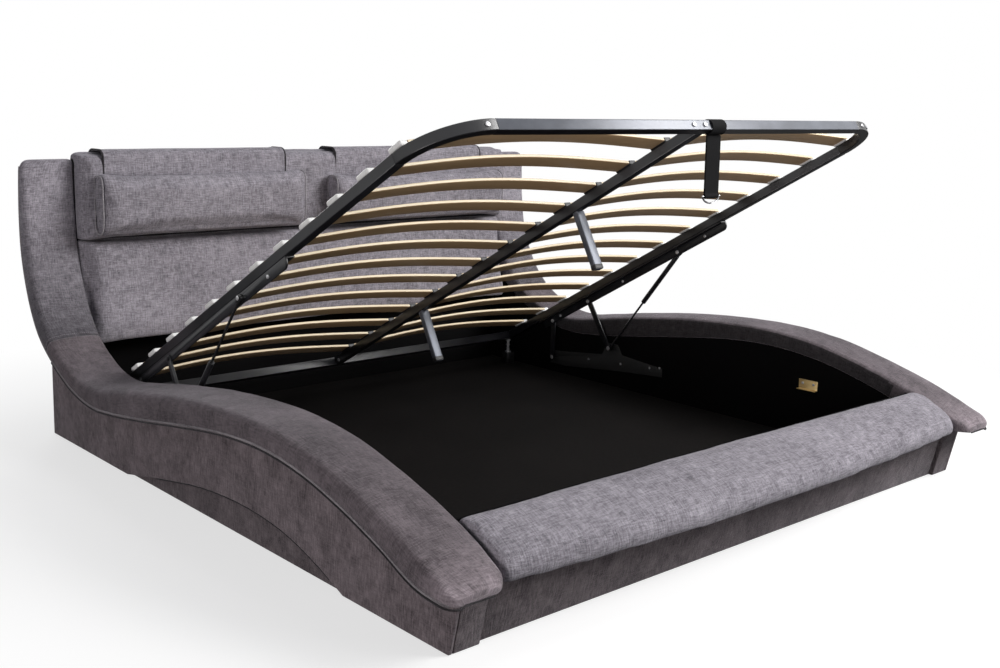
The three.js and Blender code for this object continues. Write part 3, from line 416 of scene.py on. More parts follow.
def along_line(points, count):
    """Places at even distances along the line."""
    lengths = distances(points)
    spots, place = [], 0
    for step in range(count + 1):
        want = lengths[-1] * step / count
        while place < len(points) - 2 and lengths[place + 1] < want:
            place += 1
        share = (want - lengths[place]) / max(lengths[place + 1] - lengths[place], 1e-9)
        spots.append(points[place].lerp(points[place + 1], share))
    return spots


def heading(points, place):
    """The direction of the line at one of its points."""
    return (points[min(place + 1, len(points) - 1)] - points[max(place - 1, 0)]).normalized()


def tube(points, radius, sides, work=None):
    sections = []
    side = None
    for place, spot in enumerate(points):
        direction = heading(points, place)
        if side is None:
            side = direction.orthogonal().normalized()
        side = (side - direction * side.dot(direction)).normalized()
        up = direction.cross(side)
        sections.append([spot + side * radius * math.cos(turn) + up * radius * math.sin(turn)
                         for turn in evenly(0, math.tau, sides)[:-1]])
    return sweep(sections, work)


# %% [markdown]
# A smooth line through a few points is a Catmull-Rom line, and the solids use the same one. Here it
# gives the underside of the bands, from the tip at the foot to the top of the wings.

# %% The bands' line
def through(points, steps):
    """A Catmull-Rom line whose parts are timed by the square roots of the distances between points."""
    line, last = [], len(points) - 1
    for step in range(steps + 1):
        place = last * step / steps
        index = min(int(place), last - 1)
        share = place - index
        two, three = points[index], points[index + 1]
        one = points[index - 1] if index else two * 2 - three
        four = points[index + 2] if index + 2 <= last else three * 2 - two
        first, middle, third = [math.sqrt((after - before).length)
                                for before, after in ((one, two), (two, three), (three, four))]
        leave = (two - one) / first - (three - one) / (first + middle) + (three - two) / middle
        arrive = (three - two) / middle - (four - two) / (middle + third) + (four - three) / third
        leave, arrive = leave * middle, arrive * middle
        square = (three - two) * 3 - leave * 2 - arrive
        cube = (two - three) * 2 + leave + arrive
        line.append(two + leave * share + square * share ** 2 + cube * share ** 3)
    return line


LINE_STEPS = 800
band_line = through([Vector((FOOT_Y + y * SIDE_LENGTH, z * HEAD_HEIGHT)) for y, z, _ in BAND_SHARES],
                    LINE_STEPS)
band_depth = [point.y * BAND_THICKNESS for point in
              through([Vector((place, row[2])) for place, row in enumerate(BAND_SHARES)], LINE_STEPS)]
band_reach = distances(band_line)
BAND_LENGTH = band_reach[-1]
SEAM_REACH = band_reach[int(SEAM_SHARE * LINE_STEPS)]


def on_band(reach):
    """Place, direction and padded thickness at a distance from the foot tip."""
    low = min(max(bisect_right(band_reach, reach) - 1, 0), LINE_STEPS - 1)
    share = (reach - band_reach[low]) / (band_reach[low + 1] - band_reach[low])
    spot = band_line[low].lerp(band_line[low + 1], share)
    direction = (band_line[low + 1] - band_line[low]).normalized()
    return spot, direction, band_depth[low] + (band_depth[low + 1] - band_depth[low]) * share


print("a band is", round(BAND_LENGTH, 3), "m long, its seam is at", round(SEAM_REACH, 3))

# %% [markdown]
# A band is a wrapped board under a soft rail. Its outer edge is round, its crown is low and its inner
# edge is tighter. Both ends roll over: at the foot tip and at the top of the wing the section loses
# height and width by the same quarter round that an upholsterer pulls the cloth over.

# %% Band sections
EDGE_ROUND = 0.024
BAND_CROWN = 0.005
SEAM_DEPTH, SEAM_RUN = 0.006, 0.012


def drawn_back(distance, radius):
    """How far a quarter round has drawn a section back, at a distance from its end."""
    if distance >= radius:
        return 0.0
    return radius - math.sqrt(radius ** 2 - (radius - distance) ** 2)


def seam_dip(distance):
    return SEAM_DEPTH * max(0, 1 - distance / SEAM_RUN) ** 2


def band_section(depth):
    """Across the band from its inner edge: underside, outer edge, crown and inner edge."""
    edge = min(EDGE_ROUND, depth * 0.45)
    small = edge * 0.8
    under = [(0.004, 0.0005), (BAND_WIDTH * 0.33, 0), (BAND_WIDTH * 0.66, 0),
             (BAND_WIDTH - 0.005, 0.0005)]
    outside = [(BAND_WIDTH - 0.0008, 0.004), (BAND_WIDTH, 0.01)]
    top = round_corner((BAND_WIDTH - edge, depth - edge), edge, 0, 90)
    crown = [(BAND_WIDTH * share, depth + BAND_CROWN * math.sin(math.pi * share))
             for share in (0.74, 0.6, 0.46, 0.32, 0.2)]
    inner = round_corner((small, depth - small), small, 90, 180)
    return under + outside + top + crown + inner + [(0, 0.01), (0.0008, 0.004)]


def band_place(side, spot, direction, across, above):
    """A place in the bed, by its distance from the band's inner edge and above its underside."""
    return Vector((side * (INNER_HALF + across),
                   spot.x - direction.y * above, spot.y + direction.x * above))


print("the band's section has", len(band_section(BAND_THICKNESS)), "points")

# %% [markdown]
# Each band is two pieces, a rail and a wing, that meet in a sewn seam. The weave runs along the band
# and round its section. Then the covers get small hollows and rises, and at the foot tip, where the
# cloth is drawn round the end, the rail gets finer gathers.

# %% Rails and wings
TIP_ROUND = 0.03
TIP_INNER = 0.04
TIP_TAPER, TIP_TAPER_RUN = 0.014, 0.22
WING_INNER = 0.012
WING_EXTRA = 0.011
RAIL_SINK, RAIL_LEAST = 0.75, 0.018
WING_SINK, WING_LEAST = 0.5, 0.02
END_STEPS = (0, 0.002, 0.006, 0.012, 0.02)
RING_PITCH, END_RUN = 0.02, 0.03
ALMOST = 1e-4
ROUND_TRIP = BAND_WIDTH * 2.9
NEAR_START = 0.1


def band_rings(start, end, side, is_rail):
    """Sections from start to end, close together at both ends, and how far each point lies round them."""
    reaches = [start + near for near in END_STEPS]
    reaches += evenly(start, end, int((end - start - 2 * END_RUN) / RING_PITCH), END_RUN)
    reaches += [end - near for near in reversed(END_STEPS)]
    rings, runs = [], []
    for reach in reaches:
        spot, direction, depth = on_band(min(max(reach, ALMOST), BAND_LENGTH - ALMOST))
        spot = spot + direction * max(reach - BAND_LENGTH, 0)
        to_tip, to_seam = (reach - start, end - reach) if is_rail else (end - reach, reach - start)
        outer = drawn_back(to_tip, TIP_ROUND)
        if is_rail:
            inner = drawn_back(to_tip, TIP_INNER) + TIP_TAPER * max(0, 1 - to_tip / TIP_TAPER_RUN) ** 2
            depth = max(depth - RAIL_SINK * outer, RAIL_LEAST)
        else:
            inner = drawn_back(to_tip, WING_INNER)
            depth = max(depth - WING_SINK * outer, WING_LEAST)
        flat = band_section(depth - seam_dip(to_seam))
        scale = (BAND_WIDTH - outer - inner) / BAND_WIDTH
        rings.append([band_place(side, spot, direction, inner + x * scale, z) for x, z in flat])
        runs.append((reach, distances(flat)))
    return rings, runs


def weave_on_band(work, rings, runs):
    """The map runs along the band and round its section, whose last face closes the round."""
    where = {}
    for ring, (reach, around) in zip(rings, runs):
        for spot, round_it in zip(ring, around):
            where[tuple(round(part, 5) for part in spot)] = (round_it, reach)
    layer = work.loops.layers.uv.new(WEAVE)
    for face in work.faces:
        spots = [where[tuple(round(part, 5) for part in loop.vert.co)] for loop in face.loops]
        wide = max(spot[0] for spot in spots) - min(spot[0] for spot in spots)
        for loop, (round_it, reach) in zip(face.loops, spots):
            closing = wide > ROUND_TRIP / 2 and round_it < NEAR_START
            loop[layer].uv = (round_it + (ROUND_TRIP if closing else 0), reach)


def ruffle(work, amount, scale, keep=lambda spot: 1.0):
    """Small hollows and rises, as in cloth that is stretched over foam."""
    for vert in work.verts:
        push = noise.noise(vert.co * scale) + 0.5 * noise.noise(vert.co * scale * 2.3 + Vector((7, 3, 5)))
        vert.co += vert.normal * push * amount * keep(vert.co)


TIP_GATHERS = 0.0045
GATHER_RUN = 0.045
GATHER_Y = FOOT_Y - 0.096
OUTER_X = 1.03


def gathers(spot):
    """How strong the gathers are: most at the tip's outer corner, and nothing away from it."""
    return max(0, 1 - abs(spot.y - GATHER_Y) / GATHER_RUN) * (0.4 + 6 * max(0, abs(spot.x) - OUTER_X))


for side, hand in SIDES:
    for name, start, end, solids, finish in (
        ("band_rail", 0.0, SEAM_REACH - PIECE_GAP, ("band_board", "band_pad"),
         ("band_shade_and_light_cloth", "inner_shade_cloth")),
        ("wing", SEAM_REACH + PIECE_GAP, BAND_LENGTH + WING_EXTRA, ("wing_pad",), "wing_cloth"),
    ):
        is_rail = name == "band_rail"
        rings, runs = band_rings(start, end, side, is_rail)
        work = sweep(rings)
        weave_on_band(work, rings, runs)
        work.normal_update()
        ruffle(work, 0.0011, 14)
        if is_rail:
            ruffle(work, TIP_GATHERS, 70, gathers)
        work.normal_update()
        for face in work.faces:
            # Painted shade: the rail's inward-facing faces, away from the tip, get the nearly black
            # second finish.
            inward = face.normal.x * side < -0.8 and face.calc_center_median().y > FOOT_Y + 0.16
            face.material_index = int(is_rail and inward)
        rounder(finished(work, f"{name}_{hand}", "base", "upholstery", finish,
                         stands_for=[f"{solid}_{hand}" for solid in solids], crease=70))
print("two rails and two wings, padded")

# %% [markdown]
# Piping is a thin cord sewn into a seam. One runs along the lower outer edge of each band from the foot
# tip to the top of the wing, and the light catches it all along the side of the bed. Just under it a
# nearly black cord is painted shadow: it stands for the shadow line under the band, and it also goes
# round under the foot tip.

# %% Piping along the bands
PIPING_START = 0.012
for side, hand in SIDES:
    for name, end, above, radius, cloth in (
        ("band_piping", BAND_LENGTH - PIPING_START, 0.003, 0.0032, "cord_cloth"),
        # Painted shadow: the second, nearly black cord stands for the shadow line under the band.
        ("band_shadow_cord", SEAM_REACH - 0.05, -0.0042, 0.0026, "binding"),
    ):
        reaches = evenly(PIPING_START, end, 180)
        cord = []
        if name == "band_shadow_cord":
            spot = on_band(ALMOST)[0]
            inner = TIP_INNER + TIP_TAPER
            cord = [Vector((side * (INNER_HALF + across), spot.x, spot.y + 0.001))
                    for across in evenly(inner, BAND_WIDTH - TIP_ROUND, 9)[:-1]]
            reaches = [ALMOST, 0.0008, 0.0025, 0.006] + reaches
        for reach in reaches:
            spot, direction, _ = on_band(reach)
            inset = drawn_back(min(reach, BAND_LENGTH + WING_EXTRA - reach), TIP_ROUND)
            cord.append(band_place(side, spot, direction, BAND_WIDTH - 0.0015 - inset, above))
        finished(tube(cord, radius, 8), f"{name}_{hand}", "base", "upholstery", cloth)
print("piping and dark seams along the bands")

# %% [markdown]
# The sides, the foot panel and the boards behind them are flat pieces with a covered edge. Their
# outlines are the solids' own, so each one is a merged copy of its solid with its rims rounded over.
# A nearly black cord along the arch of each side panel is painted shadow: it stands for the shadow line
# under the panel's edge. The covers get darker tones of the cloth than the cushions, painted shade.

# %% Covered boards
def merged_copy(solid):
    """A solid's own shape, with its flat faces in one piece each."""
    work = bmesh.new()
    work.from_mesh(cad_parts[solid].data)
    bmesh.ops.remove_doubles(work, verts=work.verts, dist=0.00005)
    bmesh.ops.dissolve_limit(work, angle_limit=math.radians(1), verts=work.verts, edges=work.edges)
    return work


def bevelled(work, edges, radius, segments):
    return bmesh.ops.bevel(work, geom=edges, offset=radius, offset_type="OFFSET", segments=segments,
                           profile=0.5, affect="EDGES", clamp_overlap=True, material=-1)


def rounded_rims(work, radius, segments=3, least=30):
    bevelled(work, sharp_edges(work, least), radius, segments)
    return work


def covered_board(work, solid, name, cloth, radius, segments=3):
    rounded_rims(work, radius, segments)
    bmesh.ops.triangulate(work, faces=work.faces)
    finished(work, name, "base", "upholstery", cloth, stands_for=[solid])


ARCH_TOP = 0.1
ARCH_SHADOW_RADIUS = 0.0026
for side, hand in SIDES:
    work = merged_copy(f"side_panel_{hand}")
    back = min(abs(vert.co.x) for vert in work.verts)
    arch = [vert.co.copy() for vert in work.verts
            if abs(vert.co.x) < back + 0.001 and 0.0005 < vert.co.z < ARCH_TOP]
    arch.sort(key=lambda spot: spot.y)
    # Painted shadow: a nearly black cord along the arch's lower rim stands for the shadow line under the
    # panel's edge.
    seam = [Vector((side * (back + 0.0085), spot.y, spot.z - 0.0012)) for spot in arch]
    finished(tube(seam, ARCH_SHADOW_RADIUS, 8), f"arch_shadow_cord_{hand}", "base", "upholstery", "binding")
    covered_board(work, f"side_panel_{hand}", f"side_panel_cover_{hand}", "side_cloth", 0.0055, 4)
    wall = f"side_wall_{hand}"
    covered_board(merged_copy(wall), wall, f"side_wall_cover_{hand}", "wall_cloth", 0.006, 4)
covered_board(merged_copy("foot_panel"), "foot_panel", "foot_panel_cover", "wall_cloth", 0.004)
print("side covers and foot panel cover, the arch seam has", len(seam), "points")

# %% [markdown]
# The foot pad, the headboard pads and the bolsters get their softness from a short cloth simulation.
# The start shape is a little small and is remeshed to even squares. Pressure then swells it for twenty
# frames, each point may move only so far, and the result is applied, so the same pad comes out each time.

# %% Stuffing a pad
SWELL_FRAMES = 20


def stuffed(work, cap, voxel, hold, pressure=4.0):
    """Swell a closed shape. No point moves further than cap, nor than hold allows at its place."""
    mesh = bpy.data.meshes.new("stuffing")
    work.to_mesh(mesh)
    work.free()
    pad = new_object("stuffing", mesh)
    bpy.context.view_layer.objects.active = pad
    mesh.remesh_voxel_size = voxel
    with bpy.context.temp_override(object=pad, active_object=pad, selected_objects=[pad]):
        bpy.ops.object.voxel_remesh()
    rest = [vert.co.copy() for vert in pad.data.vertices]
    cloth = pad.modifiers.new("stuffing", "CLOTH")
    cloth.settings.use_pressure = True
    cloth.settings.uniform_pressure_force = pressure
    cloth.settings.effector_weights.gravity = 0
    cloth.settings.quality = 4
    cloth.collision_settings.use_collision = False
    cloth.point_cache.frame_start = 1
    cloth.point_cache.frame_end = SWELL_FRAMES
    scene = bpy.context.scene
    for step in range(1, SWELL_FRAMES + 1):
        scene.frame_set(step)
    swollen = pad.evaluated_get(bpy.context.evaluated_depsgraph_get())
    after = [vert.co.copy() for vert in swollen.data.vertices]
    made = bmesh.new()
    made.from_mesh(pad.data)
    for vert, old, new in zip(made.verts, rest, after):
        move = new - old
        if move.length > cap:
            move *= cap / move.length
        vert.co = old + move * hold(old)
    scene.frame_set(1)
    bpy.data.objects.remove(pad)
    made.normal_update()
    return made


# %% [markdown]
# The foot pad lies on the foot end and bulges forward in the middle. Its section is a flat top that
# rolls down over a full front, and both ends press against the bands. Each row of its profile is a
# share of the depth, a share of the height and a share of the bulge.

# %% Foot pad
FOOT_DEPTH = 0.095
PAD_BOTTOM = 0.1503
PAD_TOP = 0.257
PAD_REACH = 0.069
PAD_BULGE = 0.048
PAD_HALF = INNER_HALF - PIECE_GAP
PAD_CROWN = 0.005
END_ROUND, END_PULL, END_DROP = 0.018, 8, 0.5
HELD_END = 0.004
FOOT_PROFILE = [
    (0, 0, 0), (0, 0.5, 0), (0.0, 0.9, 0), (0.05, 0.975, 0.03), (0.16, 1, 0.12), (0.32, 0.965, 0.28),
    (0.5, 0.86, 0.46), (0.66, 0.73, 0.65), (0.8, 0.61, 0.82), (0.91, 0.48, 0.95), (0.975, 0.33, 1),
    (1, 0.18, 1), (0.985, 0.06, 1), (0.94, 0, 1), (0.5, 0, 0.5),
]


def foot_section(x):
    middle = 1 - (x / PAD_HALF) ** 2
    near_end = drawn_back(PAD_HALF - abs(x), END_ROUND)
    spots = []
    for front, up, bulge in FOOT_PROFILE:
        y = FOOT_Y + FOOT_DEPTH - front * (FOOT_DEPTH + PAD_REACH) - bulge * middle * PAD_BULGE
        z = PAD_BOTTOM + up * (PAD_TOP - PAD_BOTTOM + middle * PAD_CROWN)
        away = Vector((FOOT_Y + 0.02, (PAD_BOTTOM + PAD_TOP) / 2)) - Vector((y, z))
        if front > 0.02:
            y += away.x * near_end * END_PULL
            z += away.y * near_end * END_PULL * END_DROP
        spots.append(Vector((x, y, z)))
    return spots


def pad_hold(is_held):
    """Most points may swell, but those that is_held names and both ends stay where they are."""
    return lambda spot: 0.0 if is_held(spot) or abs(spot.x) > PAD_HALF - HELD_END else 1.0


places = [PAD_HALF - gap for gap in END_STEPS] + [0.9 - 0.03 * step for step in range(31)]
row = sorted({round(value, 5) for value in places} | {round(-value, 5) for value in places})
work = sweep([foot_section(x) for x in row])
work.normal_update()
work = stuffed(work, 0.004, 0.011, pad_hold(lambda spot: spot.z < PAD_BOTTOM + 0.002))
ruffle(work, 0.0016, 7)
rounder(finished(work, "foot_pad_cover", "base", "upholstery", stands_for=["foot_pad"],
                 crease=75))
print("foot pad")

# %% [markdown]
# The headboard is a board with two stuffed pads on its front. The lower one leans and stands out
# most at its foot. The upper one is wrapped over the board, and a deep crease parts the two.

# %% Headboard pads
PAD_BACK = 1.0997
BACK_HELD = 1.09
SEAM_HEIGHT = 0.655
PAD_FOOT = 0.305
LOWER_FRONT = [(1.028, 0.629), (1.0175, 0.56), (1.005, 0.48), (0.9955, 0.41), (0.989, 0.355)]
UPPER_FRONT = [(1.0232, 0.85), (1.0225, 0.78), (1.0228, 0.71)]


def lower_section(x):
    dip = drawn_back(PAD_HALF - abs(x), 0.045)
    spots = [(PAD_BACK, PAD_FOOT), (PAD_BACK, SEAM_HEIGHT - 0.001)]
    spots += round_corner((1.052, 0.633), 0.021, 90, 170)
    spots += LOWER_FRONT + round_corner((1.001, 0.32), 0.0145, 190, 270)
    pull = 0.02 * max(0, 1 - (PAD_HALF - abs(x)) / 0.1)
    ends = [math.sin(math.pi * min(max((z - 0.35) / 0.3, 0), 1)) for _, z in spots]
    return [Vector((x - math.copysign(pull * share, x), y + (dip if y < BACK_HELD else 0), z))
            for (y, z), share in zip(spots, ends)]


def upper_section(x):
    dip = drawn_back(PAD_HALF - abs(x), 0.03)
    spots = [(PAD_BACK, 0.656), (PAD_BACK, 0.9256), (1.1322, 0.9256)]
    spots += round_corner((1.1215, 0.9355), 0.011, 0, 90, 3)
    spots += round_corner((1.05, 0.921), 0.0255, 90, 180)
    spots += UPPER_FRONT + round_corner((1.0455, 0.6775), 0.0215, 185, 270)
    return [Vector((x, y + (dip if y < 1.05 else 0), z - (0.4 * dip if z > 0.9 else 0)))
            for y, z in spots]


for name, section in (("lower_pad", lower_section), ("upper_pad", upper_section)):
    work = sweep([section(x) for x in row])
    work.normal_update()
    work = stuffed(work, 0.008, 0.011, pad_hold(lambda spot: spot.y > BACK_HELD))
    ruffle(work, 0.0022, 5)
    rounder(finished(work, f"{name}_cover", "base", "upholstery", stands_for=[f"headboard_{name}"],
                     crease=75))
print("headboard pads")

# %% [markdown]
# Two bolsters lean on the headboard. Each is a soft box with a piped seam round both ends, and small
# creases run into those seams. The cord of the piping is laid on the swollen cushion afterwards: each
# of its points is moved to the nearest place of the cover.

# %% Bolsters
BOLSTERS = {"left": 0.229, "right": 0.205}
BOLSTER_ENDS = (0, 0.0015, 0.004, 0.008, 0.014, 0.022, 0.034, 0.05)
BOLSTER_SQUARE = 3.6
BOLSTER_ROUND = 0.02
BOLSTER_PIPING, PIPING_INSET = 0.0022, 0.008
LEAN_Y = 1.01
PIPING_LAST_Y = 1.008


def soft_box(x, low, high, shrink, steps=32):
    centre, half = (low + high) / 2, (high - low) / 2 - Vector((shrink, shrink))
    spots = []
    for turn in evenly(0, math.tau, steps)[:-1]:
        out, up = [math.copysign(abs(part) ** (2 / BOLSTER_SQUARE), part)
                   for part in Vector((math.cos(turn), math.sin(turn)))]
        spots.append(Vector((x, centre.x + half.x * out, centre.y + half.y * up)))
    return spots


for hand, tall in BOLSTERS.items():
    low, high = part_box(f"bolster_{hand}")
    start, end, bottom = low.x, high.x, low.z
    corners = Vector((low.y + 0.004, bottom + 0.021)), Vector((1.0205, bottom + tall - 0.004))
    xs = [start + gap for gap in BOLSTER_ENDS] + evenly(start, end, 24, 0.05)[1:-1]
    xs += [end - gap for gap in reversed(BOLSTER_ENDS)]

    def loose(spot, last_y=LEAN_Y, lift=0.03):
        return 0.0 if spot.y > last_y or spot.z < bottom + lift else 1.0

    work = sweep([soft_box(x, *corners, drawn_back(min(x - start, end - x), BOLSTER_ROUND)) for x in xs])
    work.normal_update()
    work = stuffed(work, 0.012, 0.009, lambda spot: loose(spot, 1.012, 0.026), pressure=5.0)
    ruffle(work, 0.003, 6, loose)
    for vert in work.verts:
        if loose(vert.co):
            gap = max(min(vert.co.x - start, end - vert.co.x), 0)
            crease = noise.noise(Vector((vert.co.x * 9, vert.co.y * 55, vert.co.z * 55)))
            vert.co += vert.normal * crease * 0.004 * math.exp(-gap / 0.06)
    skin = BVHTree.FromBMesh(work)
    rounder(finished(work, f"bolster_cushion_{hand}", f"bolster_{hand}", "upholstery",
                     stands_for=[f"bolster_{hand}"], crease=80))
    for end_name, x in (("inner", start + PIPING_INSET), ("outer", end - PIPING_INSET)):
        ring = [skin.find_nearest(spot) for spot in soft_box(x, *corners, 0.0, 72)]
        ring = [hit[0] + hit[1] * 0.0006 for hit in ring]
        cord = [Vector((x, min((a.y + b.y + c.y) / 3, PIPING_LAST_Y), (a.z + b.z + c.z) / 3))
                for a, b, c in zip(ring[-1:] + ring[:-1], ring, ring[1:] + ring[:1])]
        finished(tube(cord + cord[:1], BOLSTER_PIPING, 8), f"bolster_piping_{hand}_{end_name}",
                 f"bolster_{hand}", "upholstery", "piping")
print("two bolsters with piped ends")

# %% [markdown]
# A flap of the same cloth hangs each bolster over the top of the headboard. It is one layer of cloth with
# a hem, it lies close on the pad, and its free end hangs down behind. A thin dark cord binds each side
# edge; its nearly black colour is partly the cord's own and partly painted shadow along the edge.

# %% Bolster flaps
FLAPS = {"left": (-0.86, -0.168), "right": (0.055, 0.776)}
FLAP_THICK = 0.003
HEM, HEM_THICK = 0.012, 0.0014
BINDING = 0.0034


def flap_path(tall):
    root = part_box("bolster_left")[0].z + tall - 0.05
    over = [(1.0214, root), (1.0214, 0.905)] + round_corner((1.0475, 0.9265), 0.0258, 175, 90)
    over += round_corner((1.1075, 0.9265), 0.0258, 90, 5) + [(1.1334, 0.9), (1.1338, 0.86), (1.134, 0.8)]
    return along_line([Vector((y, z)) for y, z in over], 44)


for hand, (start, end) in FLAPS.items():
    path = flap_path(BOLSTERS[hand])
    length = line_length(path)
    laid = []
    for place, run in enumerate(distances(path)):
        ahead = heading(path, place)
        laid.append((path[place], Vector((-ahead.y, ahead.x)), run))
    xs = [start, start + 0.002, start + HEM, start + HEM + 0.002] + evenly(start, end, 40, 0.03)
    xs += [end - HEM - 0.002, end - HEM, end - 0.002, end]
    sections = []
    for x in xs:
        section = [Vector((x, *spot)) for spot in path]
        for spot, away, run in reversed(laid):
            hemmed = min(x - start, end - x) < HEM + 0.001 or length - run < HEM
            thick = FLAP_THICK + (HEM_THICK if hemmed else 0.0)
            thick += 0.0009 * (noise.noise(Vector((x * 9, run * 14, 2.0))) + 0.4)
            section.append(Vector((x, *(spot + away * thick))))
        sections.append(section)
    flap = finished(sweep(sections), f"bolster_flap_{hand}", f"bolster_{hand}", "upholstery", crease=70)
    # The bindings' nearly black cords are partly real cord and partly painted shadow along the flap's
    # edges.
    for side, x in (("inner", start - 0.001), ("outer", end + 0.001)):
        edge = [Vector((x, *(spot + away * BINDING))) for spot, away, _ in laid]
        finished(tube(edge, BINDING, 8), f"bolster_binding_{hand}_{side}", f"bolster_{hand}",
                 "upholstery", "binding")
print("two flaps over the headboard")

# %% [markdown]
# The platform's own plane is tilted, so a matrix turns flat measures, across, from the foot and above
# the tubes, into places. Slats, caps and bolts are all set out in that plane.

# %% The platform's plane
FRAME_START = Vector((0, -0.79168, 1.09901))
ALONG = Vector((0, math.cos(TILT), -math.sin(TILT)))
ABOVE = Vector((0, math.sin(TILT), math.cos(TILT)))
PLATFORM = Matrix.Translation(FRAME_START) @ Matrix(((1, 0, 0), ALONG, ABOVE)).transposed().to_4x4()
FLAT = Matrix()


def rounded_block(size, centre, radius, segments=3, work=None, place=FLAT):
    """A block with all its edges rounded over, added to work and moved to its place."""
    work = work or bmesh.new()
    stretched = Matrix.Translation(centre) @ Matrix.Diagonal((*size, 1))
    made = bmesh.ops.create_cube(work, size=1, matrix=stretched)
    edges = list({edge for vert in made["verts"] for edge in vert.link_edges})
    done = bevelled(work, edges, radius, segments)
    verts = {vert for face in done["faces"] for vert in face.verts}
    verts |= {vert for vert in made["verts"] if vert.is_valid}
    bmesh.ops.transform(work, matrix=place, verts=list(verts))
    return work


print("the platform tilts", round(math.degrees(TILT), 1), "degrees")

# %% [markdown]
# The frame is welded from rectangular tube. Its section is a rectangle with small round corners, and a
# spare point stands just beside each corner, so that the flat faces stay flat to the light. The
# section is swept along each tube, and along a quarter circle at the two corners.

# %% Frame tubes
TUBE_WIDE = 0.028
TUBE_DEEP = 0.03
TUBE_ROUND = 0.0028
SPARE = 0.0008
RIM = 0.0007
FOOT_NOSE = -0.012
PLATFORM_LENGTH = 1.98
PLATFORM_HALF = 0.903
CORNER_X = 0.728
CORNER_RADIUS = 0.175
CORNER_STEPS = 24
CORNER_S = FOOT_NOSE + CORNER_RADIUS
JOINT = 0.0003


def tube_section(shrink):
    wide, deep = TUBE_WIDE / 2 - shrink, TUBE_DEEP / 2 - shrink
    spots = []
    for turn, (a, b) in enumerate(((1, -1), (1, 1), (-1, 1), (-1, -1))):
        corner = (a * (wide - TUBE_ROUND), b * (deep - TUBE_ROUND))
        bend = round_corner(corner, TUBE_ROUND, turn * 90 - 90, turn * 90, 4)
        out, up = math.cos(math.radians(turn * 90)), math.sin(math.radians(turn * 90))
        before, after = bend[0], bend[-1]
        spots.append((before[0] - out * SPARE, before[1] - up * SPARE))
        spots += bend
        spots.append((after[0] - up * SPARE, after[1] + out * SPARE))
    return spots


def frame_tube(name, stations):
    """Sweep the tube over stations: a place, its outward side and how much the section shrinks."""
    work = sweep([[PLATFORM @ (place + outward * a + Vector((0, 0, b - TUBE_DEEP / 2)))
                   for a, b in tube_section(shrink)] for place, outward, shrink in stations])
    finish = "black_steel"
    # Painted reflection: the foot tube's faces that look forward get the lighter front finish, for the
    # lamps' sheen on the black coat.
    if name == "frame_foot_tube":
        finish = ("black_steel", "front_sheen_steel")
        work.normal_update()
        for face in work.faces:
            face.material_index = int(face.normal.dot(ALONG) < -0.8)
    finished(work, f"{name}_shape", "lift_frame", "black_steel", finish, stands_for=[name], crease=50)


def straight(name, start, end, outward):
    """A tube between two places, each given across the platform and from its foot."""
    start, end, outward = Vector((*start, 0)), Vector((*end, 0)), Vector((*outward, 0))
    inward = (end - start).normalized() * RIM
    frame_tube(name, [(start, outward, RIM), (start + inward, outward, 0.0),
                      (end - inward, outward, 0.0), (end, outward, RIM)])


def away_from_corner(side, turn):
    """The outward direction in the platform's rounded corner: turn is 0 at the foot."""
    return Vector((side * math.sin(turn), -math.cos(turn), 0))


foot_s = FOOT_NOSE + TUBE_WIDE / 2
head_s = PLATFORM_LENGTH - TUBE_WIDE / 2
for side, hand in SIDES:
    x = side * (PLATFORM_HALF - TUBE_WIDE / 2)
    straight(f"frame_side_{hand}", (x, CORNER_S + JOINT), (x, PLATFORM_LENGTH), (side, 0))
    centre = Vector((side * CORNER_X, CORNER_S, 0))
    bend = []
    for step in range(CORNER_STEPS + 1):
        away = away_from_corner(side, math.pi / 2 * step / CORNER_STEPS)
        shrink = 0 if 0 < step < CORNER_STEPS else RIM
        bend.append((centre + away * (CORNER_RADIUS - TUBE_WIDE / 2), away, shrink))
    frame_tube(f"frame_corner_{hand}", bend)
foot_half = CORNER_X - JOINT
head_half = PLATFORM_HALF - TUBE_WIDE - JOINT
straight("frame_foot_tube", (-foot_half, foot_s), (foot_half, foot_s), (0, -1))
straight("frame_head_tube", (-head_half, head_s), (head_half, head_s), (0, 1))
straight("frame_mid_rail", (0, foot_s + TUBE_WIDE / 2 + JOINT), (0, head_s - TUBE_WIDE / 2 - JOINT),
         (1, 0))
print("seven frame tubes, the platform is", PLATFORM_LENGTH, "m long")

# %% [markdown]
# Plates, links, legs, rails and struts keep the solids' own shapes, but real steel has broken edges.
# Each piece is a merged copy with a small round on every rim, which gives the thin bright lines.

# %% Steelwork
def steel_shape(work, solid, body, slot="black_steel", finish=None):
    finished(work, f"{solid}_shape", body, slot, finish, stands_for=[solid], crease=35)


